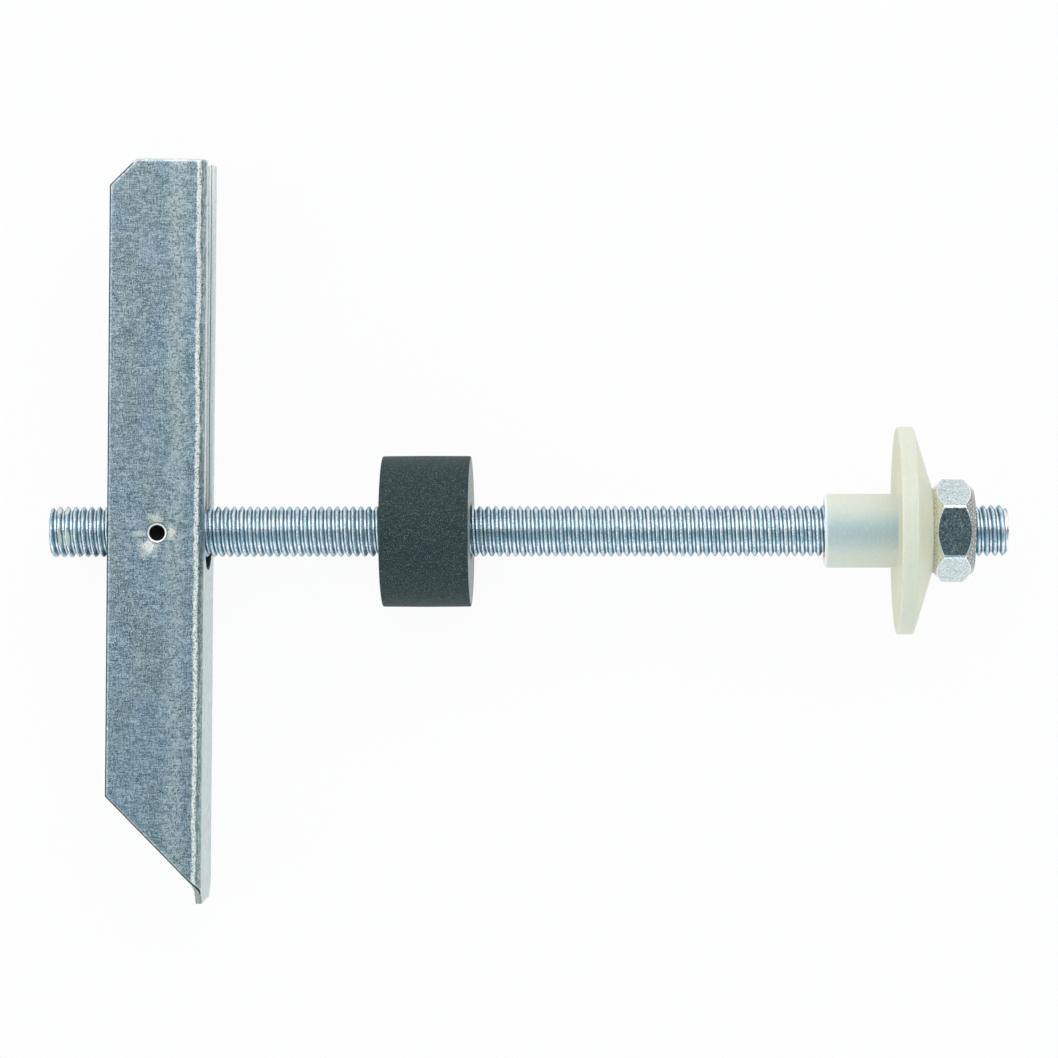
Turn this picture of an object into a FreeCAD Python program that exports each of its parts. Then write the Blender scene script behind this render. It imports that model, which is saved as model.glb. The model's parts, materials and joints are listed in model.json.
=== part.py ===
import FreeCAD, Part
import math
import os

from FreeCAD import Vector

# A gravity toggle fixing for hollow walls, lying on its side.
# A threaded rod carries, from its hidden end to its open end, a folded sheet toggle on a
# trunnion nut, a rubber sleeve that fills the drilled hole, a collar washer and a hex nut.
#
# Millimetres. While it is modelled, X runs along the rod from the toggle end, Y along the
# toggle and Z up, across the toggle's two legs. The finished part is then moved so that its
# origin is the middle of its box at the height of the surface that it lies on.

# Threaded rod, drawn plain at the size over its thread
ROD_LENGTH = 180.0
ROD_RADIUS = 4.9
ROD_OPEN_END_CHAMFER = 0.9
ROD_HIDDEN_END_CHAMFER = 0.4
THREAD_CLEARANCE = 0.05

# Toggle, a channel folded from one sheet. It hangs loose, so it lies a little off square.
CHANNEL_LENGTH = 139.5
CHANNEL_DEPTH = 18.0
SHEET = 1.25
LEG_CLEARANCE = 0.25
INSIDE_BEND_RADIUS = 0.95
LONG_CORNER_CUT = 20.3
SHORT_CORNER_CUT = 5.0
TOGGLE_LEAN_DEG = 0.7
SLOT_SIDE_CLEARANCE = 1.1
SLOT_END_CLEARANCE = 2.05

# Pivot of the toggle: a collar pierced inwards in each leg, in a blind hole of the nut
PIVOT_FROM_ROD_END = 21.1
PIVOT_FROM_WEB_FACE = 8.6
PIERCED_BORE_RADIUS = 1.4
PIERCED_MOUTH_ROUND = 0.3
PIERCED_COLLAR_WALL = 0.7
PIERCED_COLLAR_LENGTH = 1.75
PIVOT_CLEARANCE = 0.05
PIVOT_END_CLEARANCE = 0.5

# Trunnion nut and hex nut
NUT_ACROSS_FLATS = 17.0
NUT_ACROSS_CORNERS = 19.3
NUT_HEIGHT = 8.0
NUT_FACE_RADIUS = 7.65
NUT_CHAMFER_DEG = 45.0
NUT_BORE_SINK = 0.5

# Rubber sleeve
SLEEVE_FROM_WEB_FACE = 33.0
SLEEVE_RADIUS = 14.2
SLEEVE_LENGTH = 16.6

# Collar washer
BOSS_LENGTH = 13.6
BOSS_RADIUS = 6.95
BOSS_TIP_ROUND = 0.5
WASHER_BORE_CLEARANCE = 0.35
FLANGE_RADIUS = 19.5
FLANGE_RIM = 3.0
FLANGE_RIM_ROUND = 0.25
FLANGE_THICKNESS = 6.4
FLANGE_SEAT_RADIUS = 8.6

# The hex nut's outer face stands this far inside the rod's open end
ROD_PAST_NUT = 6.3

# Sizes and places that follow from those above
CHANNEL_WIDTH = NUT_ACROSS_FLATS + 2 * (LEG_CLEARANCE + SHEET)
SLOT_WIDTH = 2 * (ROD_RADIUS + SLOT_SIDE_CLEARANCE)
SLOT_PAST_ROD_AXIS = ROD_RADIUS + SLOT_END_CLEARANCE
WEB_FACE_X = PIVOT_FROM_ROD_END + PIVOT_FROM_WEB_FACE
FREE_EDGE_X = WEB_FACE_X - CHANNEL_DEPTH
OUTSIDE_BEND_RADIUS = INSIDE_BEND_RADIUS + SHEET
BEND_X = WEB_FACE_X - OUTSIDE_BEND_RADIUS
BEND_Z = CHANNEL_WIDTH / 2 - OUTSIDE_BEND_RADIUS
LEG_INNER_Z = CHANNEL_WIDTH / 2 - SHEET
NUT_OUTER_FACE_X = ROD_LENGTH - ROD_PAST_NUT
NUT_SEAT_X = NUT_OUTER_FACE_X - NUT_HEIGHT
FLANGE_FACE_X = NUT_SEAT_X - FLANGE_THICKNESS
BOSS_TIP_X = FLANGE_FACE_X - BOSS_LENGTH
SLEEVE_X = WEB_FACE_X + SLEEVE_FROM_WEB_FACE
COLLAR_RADIUS = PIERCED_BORE_RADIUS + PIERCED_COLLAR_WALL

X_AXIS = Vector(1, 0, 0)
Y_AXIS = Vector(0, 1, 0)
Z_AXIS = Vector(0, 0, 1)

# How far a cutting solid reaches past what it cuts
PAST = 1.0


def polygon_face(points):
    """A flat face with the given corners."""
    return Part.Face(Part.makePolygon(points + points[:1]))


def turned(profile):
    """A solid of revolution about the rod's axis, from (x, radius) corners."""
    face = polygon_face([Vector(x, radius, 0) for x, radius in profile])
    return face.revolve(Vector(0, 0, 0), X_AXIS, 360)


def rod_bore(radius, start, length):
    """A cylinder along the rod's axis."""
    return Part.makeCylinder(radius, length, Vector(start, 0, 0), X_AXIS)


def threaded_rod():
    """The rod, chamfered at both ends."""
    return turned(
        [
            (0, 0),
            (0, ROD_RADIUS - ROD_HIDDEN_END_CHAMFER),
            (ROD_HIDDEN_END_CHAMFER, ROD_RADIUS),
            (ROD_LENGTH - ROD_OPEN_END_CHAMFER, ROD_RADIUS),
            (ROD_LENGTH, ROD_RADIUS - ROD_OPEN_END_CHAMFER),
            (ROD_LENGTH, 0),
        ]
    )


def bend_arc(radius, side):
    """A quarter circle of the channel's section, from the leg to the web on one side."""
    centre = Vector(BEND_X, 0, side * BEND_Z)
    points = [
        centre + Vector(radius * math.sin(turn), 0, side * radius * math.cos(turn))
        for turn in (0, math.pi / 4, math.pi / 2)
    ]
    return Part.Arc(*points).toShape()


def channel_section():
    """The channel's U section as a face in the XZ plane."""
    edges = []
    for radius in (INSIDE_BEND_RADIUS, OUTSIDE_BEND_RADIUS):
        for side in (1, -1):
            leg_z = side * (BEND_Z + radius)
            edges.append(bend_arc(radius, side))
            edges.append(
                Part.LineSegment(
                    Vector(FREE_EDGE_X, 0, leg_z), Vector(BEND_X, 0, leg_z)
                ).toShape()
            )
        edges.append(
            Part.LineSegment(
                Vector(BEND_X + radius, 0, -BEND_Z), Vector(BEND_X + radius, 0, BEND_Z)
            ).toShape()
        )
    for side in (1, -1):
        edges.append(
            Part.LineSegment(
                Vector(FREE_EDGE_X, 0, side * LEG_INNER_Z),
                Vector(FREE_EDGE_X, 0, side * CHANNEL_WIDTH / 2),
            ).toShape()
        )
    return Part.Face(Part.Wire(Part.__sortEdges__(edges)))


def leg_cut(reach, end):
    """What a 45 degree cut of the blank's corner takes from the flat of the upper leg."""
    across = min(reach, BEND_X - FREE_EDGE_X)
    outline = [
        (FREE_EDGE_X - PAST, reach + PAST),
        (FREE_EDGE_X + across, reach - across),
        (FREE_EDGE_X + across, -PAST),
        (FREE_EDGE_X - PAST, -PAST),
    ]
    corners = [
        Vector(x, end * (CHANNEL_LENGTH / 2 - inward), LEG_INNER_Z - PAST)
        for x, inward in outline
    ]
    return polygon_face(corners).extrude(Z_AXIS * (SHEET + 2 * PAST))


def bend_cut(reach, end, turn):
    """What the same cut takes from the upper bend: it winds round the bend as a helix does."""
    middle_radius = INSIDE_BEND_RADIUS + SHEET / 2
    inner_radius = INSIDE_BEND_RADIUS / 2
    outer_radius = OUTSIDE_BEND_RADIUS + PAST
    steps = 6
    curves = []
    for radius in (inner_radius, outer_radius):
        points = []
        for step in range(steps + 1):
            angle = turn * step / steps
            inward = reach - middle_radius * angle
            points.append(
                Vector(
                    BEND_X + radius * math.sin(angle),
                    end * (CHANNEL_LENGTH / 2 - inward),
                    BEND_Z + radius * math.cos(angle),
                )
            )
        curve = Part.BSplineCurve()
        curve.interpolate(points)
        curves.append(curve.toShape())
    ramp = Part.makeRuledSurface(*curves)
    return ramp.extrude(Y_AXIS * end * (reach + PAST))


def web_cut(reach, end):
    """What is left of the same cut on the flat of the web, beside the upper bend."""
    outline = [(0, reach), (reach, 0), (reach, -PAST), (0, -PAST)]
    corners = [
        Vector(WEB_FACE_X - SHEET - PAST / 2, end * (CHANNEL_LENGTH / 2 - inward), BEND_Z - across)
        for across, inward in outline
    ]
    return polygon_face(corners).extrude(X_AXIS * (SHEET + PAST))


def corner_cuts(reach, end):
    """A 45 degree cut across both corners at one end of the blank, as it lies once folded."""
    flat = BEND_X - FREE_EDGE_X
    bend = (INSIDE_BEND_RADIUS + SHEET / 2) * math.pi / 2
    cuts = [leg_cut(reach, end)]
    if reach > flat:
        turn = min(reach - flat, bend) / bend * math.pi / 2
        cuts.append(bend_cut(reach - flat, end, turn))
    if reach > flat + bend:
        cuts.append(web_cut(reach - flat - bend, end))
    return cuts + [cut.mirror(Vector(0, 0, 0), Z_AXIS) for cut in cuts]


def slot_cut():
    """The slot that the rod passes through as the toggle folds, open at one end."""
    depth = OUTSIDE_BEND_RADIUS + PAST
    start = Vector(WEB_FACE_X - depth, SLOT_WIDTH / 2 - SLOT_PAST_ROD_AXIS, 0)
    round_end = Part.makeCylinder(SLOT_WIDTH / 2, depth + PAST, start, X_AXIS)
    straight = Part.makeBox(
        depth + PAST,
        CHANNEL_LENGTH / 2 + PAST - start.y,
        SLOT_WIDTH,
        start - Z_AXIS * SLOT_WIDTH / 2,
    )
    return round_end.fuse(straight)


def pierced_collar(side):
    """The collar that is pushed inwards as one leg is pierced, without its bore."""
    base = Vector(PIVOT_FROM_ROD_END, 0, side * (LEG_INNER_Z - PIERCED_COLLAR_LENGTH))
    length = PIERCED_COLLAR_LENGTH + SHEET / 2
    return Part.makeCylinder(COLLAR_RADIUS, length, base, Z_AXIS * side)


def pierced_bore(side):
    """The bore of one pierced collar, with its rounded mouth on the outside of the leg."""
    outside = CHANNEL_WIDTH / 2
    inside = LEG_INNER_Z - PIERCED_COLLAR_LENGTH - PAST
    mouth = PIERCED_BORE_RADIUS + PIERCED_MOUTH_ROUND
    centre = Vector(mouth, 0, outside - PIERCED_MOUTH_ROUND)
    slant = PIERCED_MOUTH_ROUND * math.sqrt(0.5)
    round_start = Vector(PIERCED_BORE_RADIUS, 0, centre.z)
    round_middle = centre + Vector(-slant, 0, slant)
    round_end = Vector(mouth, 0, outside)
    corners = [
        round_end,
        Vector(mouth, 0, outside + PAST),
        Vector(0, 0, outside + PAST),
        Vector(0, 0, inside),
        Vector(PIERCED_BORE_RADIUS, 0, inside),
        round_start,
    ]
    sides = [Part.LineSegment(a, b).toShape() for a, b in zip(corners, corners[1:])]
    sides.append(Part.Arc(round_start, round_middle, round_end).toShape())
    bore = Part.Face(Part.Wire(sides)).revolve(Vector(0, 0, 0), Z_AXIS, 360)
    bore.translate(X_AXIS * PIVOT_FROM_ROD_END)
    return bore if side > 0 else bore.mirror(Vector(0, 0, 0), Z_AXIS)


def toggle_channel():
    """The folded toggle with its slot, its cut corners and its two pierced pivots."""
    section = channel_section()
    section.translate(-Y_AXIS * CHANNEL_LENGTH / 2)
    sheet = section.extrude(Y_AXIS * CHANNEL_LENGTH)
    for cut in corner_cuts(LONG_CORNER_CUT, -1) + corner_cuts(SHORT_CORNER_CUT, 1):
        sheet = sheet.cut(cut)
    sheet = sheet.cut(slot_cut())
    for side in (1, -1):
        sheet = sheet.fuse(pierced_collar(side)).cut(pierced_bore(side))
    sheet = sheet.removeSplitter()
    sheet.rotate(X_AXIS * PIVOT_FROM_ROD_END, -Z_AXIS, TOGGLE_LEAN_DEG)
    return sheet


def hex_blank(start):
    """A hex nut without its bore, two flats level, chamfered at both faces."""
    corner_radius = NUT_ACROSS_CORNERS / 2
    chamfer = (corner_radius - NUT_FACE_RADIUS) * math.tan(math.radians(NUT_CHAMFER_DEG))
    end = start + NUT_HEIGHT
    envelope = turned(
        [
            (start, 0),
            (start, NUT_FACE_RADIUS),
            (start + chamfer, corner_radius),
            (end - chamfer, corner_radius),
            (end, NUT_FACE_RADIUS),
            (end, 0),
        ]
    )
    sharp_radius = NUT_ACROSS_FLATS / math.sqrt(3)
    corners = [
        Vector(start, sharp_radius * math.cos(angle), sharp_radius * math.sin(angle))
        for angle in (math.pi / 3 * step for step in range(6))
    ]
    return polygon_face(corners).extrude(X_AXIS * NUT_HEIGHT).common(envelope)


def nut_bore(start):
    """The bore of a nut, sunk at both faces."""
    radius = ROD_RADIUS + THREAD_CLEARANCE
    end = start + NUT_HEIGHT
    return turned(
        [
            (start - PAST, 0),
            (start - PAST, radius + NUT_BORE_SINK + PAST),
            (start + NUT_BORE_SINK, radius),
            (end - NUT_BORE_SINK, radius),
            (end + PAST, radius + NUT_BORE_SINK + PAST),
            (end + PAST, 0),
        ]
    )


def trunnion_nut():
    """The nut inside the toggle, with a blind hole in two flats for the pierced collars."""
    start = PIVOT_FROM_ROD_END - NUT_HEIGHT / 2
    nut = hex_blank(start).cut(nut_bore(start))
    hole_end = LEG_INNER_Z - PIERCED_COLLAR_LENGTH - PIVOT_END_CLEARANCE
    for side in (1, -1):
        hole = Part.makeCylinder(
            COLLAR_RADIUS + PIVOT_CLEARANCE,
            CHANNEL_WIDTH / 2 - hole_end,
            Vector(PIVOT_FROM_ROD_END, 0, side * hole_end),
            Z_AXIS * side,
        )
        nut = nut.cut(hole)
    return nut


def hex_nut():
    """The nut that draws the washer up."""
    return hex_blank(NUT_SEAT_X).cut(nut_bore(NUT_SEAT_X))


def rubber_sleeve():
    """The plain rubber sleeve on the rod."""
    sleeve = rod_bore(SLEEVE_RADIUS, SLEEVE_X, SLEEVE_LENGTH)
    return sleeve.cut(rod_bore(ROD_RADIUS + THREAD_CLEARANCE, SLEEVE_X, SLEEVE_LENGTH))


def collar_washer():
    """The moulded washer: a boss that enters the fixture, and a flange with a coned front."""
    washer = turned(
        [
            (BOSS_TIP_X, 0),
            (BOSS_TIP_X, BOSS_RADIUS - BOSS_TIP_ROUND),
            (BOSS_TIP_X + BOSS_TIP_ROUND, BOSS_RADIUS),
            (FLANGE_FACE_X, BOSS_RADIUS),
            (FLANGE_FACE_X, FLANGE_RADIUS - FLANGE_RIM_ROUND),
            (FLANGE_FACE_X + FLANGE_RIM_ROUND, FLANGE_RADIUS),
            (FLANGE_FACE_X + FLANGE_RIM - FLANGE_RIM_ROUND, FLANGE_RADIUS),
            (FLANGE_FACE_X + FLANGE_RIM, FLANGE_RADIUS - FLANGE_RIM_ROUND),
            (NUT_SEAT_X, FLANGE_SEAT_RADIUS),
            (NUT_SEAT_X, 0),
        ]
    )
    bore = rod_bore(
        ROD_RADIUS + WASHER_BORE_CLEARANCE, BOSS_TIP_X, BOSS_LENGTH + FLANGE_THICKNESS
    )
    return washer.cut(bore)


def main():
    """Build each piece, move it to the part's origin and write it."""
    os.makedirs("parts", exist_ok=True)
    to_origin = Vector(-ROD_LENGTH / 2, 0, FLANGE_RADIUS)
    pieces = {
        "threaded_rod": threaded_rod(),
        "toggle_channel": toggle_channel(),
        "trunnion_nut": trunnion_nut(),
        "rubber_sleeve": rubber_sleeve(),
        "collar_washer": collar_washer(),
        "hex_nut": hex_nut(),
    }
    for name, shape in pieces.items():
        shape.translate(to_origin)
        solid = shape.Solids[0]
        solid.exportStep(os.path.join("parts", name + ".step"))
        box = solid.optimalBoundingBox(False, False)
        print(
            f"{name}: {len(shape.Solids)} solid, valid {solid.isValid()},"
            f" volume {solid.Volume:.1f},"
            f" x {box.XMin:.2f} to {box.XMax:.2f},"
            f" y {box.YMin:.2f} to {box.YMax:.2f},"
            f" z {box.ZMin:.2f} to {box.ZMax:.2f}"
        )


main()
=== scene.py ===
import json
import logging
import math
from dataclasses import dataclass, field
from enum import Enum

import bmesh
import bpy
import numpy as np
from mathutils import Matrix, Vector, noise
from mathutils.geometry import tessellate_polygon


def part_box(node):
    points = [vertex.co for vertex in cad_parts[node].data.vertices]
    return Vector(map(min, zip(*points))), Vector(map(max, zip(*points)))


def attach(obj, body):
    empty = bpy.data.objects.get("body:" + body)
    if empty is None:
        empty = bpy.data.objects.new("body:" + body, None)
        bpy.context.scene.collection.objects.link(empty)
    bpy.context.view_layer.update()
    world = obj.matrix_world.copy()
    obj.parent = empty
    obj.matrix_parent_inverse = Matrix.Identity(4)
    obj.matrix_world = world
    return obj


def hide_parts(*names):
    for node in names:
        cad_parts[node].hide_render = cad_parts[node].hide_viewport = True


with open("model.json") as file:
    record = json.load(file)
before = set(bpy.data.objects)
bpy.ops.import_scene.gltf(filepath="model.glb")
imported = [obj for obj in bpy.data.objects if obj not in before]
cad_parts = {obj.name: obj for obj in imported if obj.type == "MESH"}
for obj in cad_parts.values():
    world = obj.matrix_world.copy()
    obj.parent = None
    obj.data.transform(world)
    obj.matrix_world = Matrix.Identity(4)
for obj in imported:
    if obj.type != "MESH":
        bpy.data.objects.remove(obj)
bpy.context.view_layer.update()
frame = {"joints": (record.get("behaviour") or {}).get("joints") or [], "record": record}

# A gravity toggle anchor for hollow walls, dressed for its portrait.
# Sizes are in millimetres, and the finished meshes are in metres in the part's own frame:
# X runs along the rod from the toggle to the nut, Y along the toggle and Z up.

MM = 0.001
LOG = logging.getLogger("wall_anchor")

Socket = bpy.types.NodeSocket
Material = bpy.types.Material
Piece = bpy.types.Object
Colour = tuple[float, float, float]
Stretch = tuple[float, float, float]
FlatPoint = tuple[float, float]
Edge = tuple[int, int]

# A band is its middle, how far from that it is full, and how far past that it fades out.
# A ramp is two values, and the results that they give.
Band = tuple[float, float, float]
Ramp = tuple[float, float, float, float]

WHITE: Colour = (1.0, 1.0, 1.0)


class Slot(Enum):
    """The material slots of the part's record."""

    ZINC = "zinc_plated_steel"
    SHEET = "galvanised_sheet"
    RUBBER = "black_rubber"
    NYLON = "cream_nylon"


class Body(Enum):
    """The bodies that the pieces ride on."""

    ROD = "rod"
    TOGGLE_NUT = "toggle_nut"
    TOGGLE = "toggle"
    SLEEVE = "sleeve"
    WASHER = "washer"
    NUT = "nut"


class Rays(Enum):
    """The kinds of ray that see the white background."""

    CAMERA = "Is Camera Ray"
    GLOSSY = "Is Glossy Ray"
    TRANSMISSION = "Is Transmission Ray"


def span(node: str) -> tuple[Vector, Vector]:
    """A node's lowest and highest corners, in millimetres."""
    low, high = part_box(node)
    return low / MM, high / MM


def joint_place(name: str) -> Vector:
    """The point that a joint turns about, in millimetres."""
    joint = next(j for j in frame["joints"] if j["name"] == name)
    return Vector(joint["pos_m"]) / MM


def mount_axis(name: str) -> Vector:
    """The axis of a mount of the record, as a unit vector."""
    mount = next(m for m in frame["record"]["mounts"] if m["name"] == name)
    return Vector(mount["axis"]).normalized()


def full_turn(steps: int) -> np.ndarray:
    """The angles of one turn in equal steps, in radians."""
    return np.arange(steps) * 2 * math.pi / steps


ROD_LOW, ROD_HIGH = span("threaded_rod")
AXIS_HEIGHT = (ROD_LOW.z + ROD_HIGH.z) / 2


@dataclass(frozen=True)
class Grain:
    """Noise with lumps of about one size, given in millimetres.

    A stretch above 1 makes it finer that way. Detail is how many finer octaves it has, rough is
    how strong those are, and twist is how far it is twisted into curls.
    """

    size: float
    stretch: Stretch = (1, 1, 1)
    detail: float = 3.0
    rough: float = 0.55
    twist: float = 0.0


@dataclass(frozen=True)
class Coat:
    """A colour over another one. It covers the share start at low and the share end at high."""

    colour: Colour
    low: float
    high: float
    start: float = 0.0
    end: float = 1.0


Coats = tuple[Coat, ...]


class NodeSheet:
    """Writes the shader nodes of one material or world."""

    def __init__(self, tree: bpy.types.NodeTree) -> None:
        """Start with an empty tree."""
        self.tree = tree
        tree.nodes.clear()

    def add(self, kind: str, inputs: dict | None = None, **settings: object) -> bpy.types.Node:
        """Add a node.

        Args:
            kind: the node's type name.
            inputs: values or sockets for its inputs, by name or number.
            settings: values for its own properties.

        Returns:
            The new node.
        """
        node = self.tree.nodes.new(kind)
        for name, value in settings.items():
            setattr(node, name, value)
        for name, value in (inputs or {}).items():
            self.feed(node.inputs[name], value)
        return node

    def feed(self, socket: Socket, value: object) -> None:
        """Give an input its value.

        Args:
            socket: the input.
            value: another node's socket, a number, a vector or a colour.
        """
        if isinstance(value, Socket):
            self.tree.links.new(value, socket)
        elif socket.type == "RGBA":
            socket.default_value = (*value, 1.0)
        else:
            socket.default_value = value

    def place(self, stretch: Stretch = (1, 1, 1)) -> Socket:
        """Positions on the piece in metres.

        Args:
            stretch: factors on X, Y and Z, above 1 for finer grain that way.

        Returns:
            The vector socket.
        """
        texture = self.add("ShaderNodeTexCoord")
        inputs = {"Vector": texture.outputs["Object"], "Scale": stretch}
        return self.add("ShaderNodeMapping", inputs).outputs["Vector"]

    def grain(self, kind: Grain) -> Socket:
        """Noise of one kind.

        Args:
            kind: the kind.

        Returns:
            The noise, from 0 to 1.
        """
        inputs = {
            "Vector": self.place(kind.stretch),
            "Scale": 1 / (kind.size * MM),
            "Detail": kind.detail,
            "Roughness": kind.rough,
            "Distortion": kind.twist,
        }
        return self.add("ShaderNodeTexNoise", inputs).outputs["Fac"]

    def levels(
        self, value: Socket, low: float, high: float, start: float = 0.0, end: float = 1.0
    ) -> Socket:
        """Map a value's range onto another, softly and clamped.

        Args:
            value: what is mapped.
            low: the value that gives start.
            high: the value that gives end.
            start: the result at low.
            end: the result at high.

        Returns:
            The mapped value.
        """
        inputs = {"Value": value, "From Min": low, "From Max": high, "To Min": start, "To Max": end}
        node = self.add("ShaderNodeMapRange", inputs, interpolation_type="SMOOTHSTEP")
        return node.outputs["Result"]

    def maths(self, operation: str, *values: object, clamp: bool = False) -> Socket:
        """One operation of the math node.

        Args:
            operation: its name.
            values: numbers or sockets for its inputs.
            clamp: whether the result is held from 0 to 1.

        Returns:
            The result.
        """
        inputs = dict(enumerate(values))
        node = self.add("ShaderNodeMath", inputs, operation=operation, use_clamp=clamp)
        return node.outputs["Value"]

    def both(self, a: object, b: object) -> Socket:
        """The product of two shares."""
        return self.maths("MULTIPLY", a, b, clamp=True)

    def distance(self, a: Socket, b: Socket) -> Socket:
        """The distance of a point from the origin of two coordinates."""
        squares = self.maths("MULTIPLY_ADD", a, a, self.maths("MULTIPLY", b, b))
        return self.maths("SQRT", squares)

    def band(self, value: Socket, middle: float, half: float, soft: float) -> Socket:
        """1 where a value is near a middle, and 0 away from it.

        Args:
            value: the value.
            middle: the middle.
            half: how far from it the band still is full.
            soft: how far past that it fades out.

        Returns:
            The share.
        """
        away = self.maths("ABSOLUTE", self.maths("SUBTRACT", value, middle))
        return self.levels(away, half + soft, half)

    def swayed(self, value: Socket, sway: Socket, reach: float) -> Socket:
        """A value shifted to and fro by a noise, by up to about half the reach."""
        return self.maths("MULTIPLY_ADD", self.maths("SUBTRACT", sway, 0.5), reach, value)

    def mix(self, share: object, a: object, b: object) -> Socket:
        """Mix two colours.

        Args:
            share: how much of b, from 0 to 1.
            a: the first colour.
            b: the second colour.

        Returns:
            The mixed colour.
        """
        node = self.add("ShaderNodeMix", data_type="RGBA")
        first, second = (s for s in node.inputs if s.type == "RGBA")
        for socket, value in ((node.inputs[0], share), (first, a), (second, b)):
            self.feed(socket, value)
        return next(s for s in node.outputs if s.type == "RGBA")

    def coated(self, under: object, pattern: Socket, coats: Coats) -> object:
        """Lay coats over a colour, one on another.

        Args:
            under: the colour.
            pattern: the value that says where each coat lies.
            coats: the coats, lowest first.

        Returns:
            The coated colour.
        """
        for coat in coats:
            share = self.levels(pattern, coat.low, coat.high, coat.start, coat.end)
            under = self.mix(share, under, coat.colour)
        return under

    def blend(self, share: object, a: Socket, b: Socket) -> Socket:
        """The shader that goes from a to b by a share."""
        return self.add("ShaderNodeMixShader", {0: share, 1: a, 2: b}).outputs[0]

    def axis(self, letter: str) -> Socket:
        """One coordinate of the piece's position, in metres."""
        return self.add("ShaderNodeSeparateXYZ", {"Vector": self.place()}).outputs[letter]

    def mark(self, name: str) -> Socket:
        """A value that the mesh carries at its points."""
        return self.add("ShaderNodeAttribute", attribute_name=name).outputs["Fac"]

    def relief(self, height: Socket, depth: float, under: Socket | None = None) -> Socket:
        """Bump from a height.

        Args:
            height: the height, from 0 to 1.
            depth: the depth in millimetres that 1 stands for.
            under: the normal of a coarser bump below this one.

        Returns:
            The normal.
        """
        inputs = {"Height": height, "Distance": depth * MM}
        if under is not None:
            inputs["Normal"] = under
        return self.add("ShaderNodeBump", inputs).outputs["Normal"]

    def surface(self, **inputs: object) -> None:
        """Finish a material with the principled shader.

        Args:
            inputs: its inputs, with spaces in their names written as underscores.
        """
        named = {name.replace("_", " "): value for name, value in inputs.items()}
        shader = self.add("ShaderNodeBsdfPrincipled", named)
        self.add("ShaderNodeOutputMaterial", {"Surface": shader.outputs[0]})


def new_material(name: str) -> tuple[Material, NodeSheet]:
    """Make an empty node material.

    Args:
        name: its name.

    Returns:
        The material and the writer of its nodes.
    """
    material = bpy.data.materials.new(name)
    material.use_nodes = True
    return material, NodeSheet(material.node_tree)


TEAL_ZINC: Colour = (0.32, 0.51, 0.62)
WHITE_ZINC: Colour = (0.97, 0.98, 1.0)
PALE_SHEET: Colour = (0.78, 0.86, 0.88)
DARK_SHEET: Colour = (0.10, 0.15, 0.18)
BRIGHT_SHEET: Colour = (1.0, 1.0, 0.98)


@dataclass(frozen=True)
class ZincPlate:
    """Bright zinc plate on a thread: speckled crests, painted shade on the flanks and a painted
    highlight in the roots.
    """

    name: str = "zinc_plate"
    steel: Colour = (0.62, 0.75, 0.82)
    pressed: Colour = (0.90, 0.87, 0.76)
    rim: Colour = (0.52, 0.62, 0.68)
    film: Grain = Grain(2.4, detail=2.0)
    on_film: Coats = (
        Coat((0.86, 0.90, 0.94), 0.44, 0.62),
        Coat(TEAL_ZINC, 0.50, 0.36, end=0.7),
    )
    specks: Grain = Grain(0.24, detail=2.0, rough=0.7)
    on_specks: Coats = (Coat(TEAL_ZINC, 0.50, 0.40, end=0.85), Coat(WHITE_ZINC, 0.54, 0.62))
    # By depth in the thread: painted shade on the flanks and a painted highlight in the roots.
    flank_shade_root_highlight: Coats = (
        Coat((0.20, 0.31, 0.38), 0.22, 0.42, end=0.92),
        Coat(WHITE_ZINC, 0.80, 0.93),
    )
    roughness: Ramp = (0.35, 0.65, 0.07, 0.19)
    bump: float = 0.06

    def make(self) -> Material:
        """Build the material.

        Returns:
            The material.
        """
        material, sheet = new_material(self.name)
        film, specks = sheet.grain(self.film), sheet.grain(self.specks)
        colour = sheet.coated(self.steel, film, self.on_film)
        colour = sheet.coated(colour, specks, self.on_specks)
        # Painted shade on the flanks and a painted highlight in the roots.
        colour = sheet.coated(colour, sheet.mark("thread_depth"), self.flank_shade_root_highlight)
        colour = sheet.mix(sheet.mark("pressed"), colour, self.pressed)
        sheet.surface(
            Base_Color=colour,
            Metallic=1.0,
            Roughness=sheet.levels(specks, *self.roughness),
            Specular_Tint=self.rim,
            Normal=sheet.relief(specks, self.bump),
        )
        return material


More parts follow.
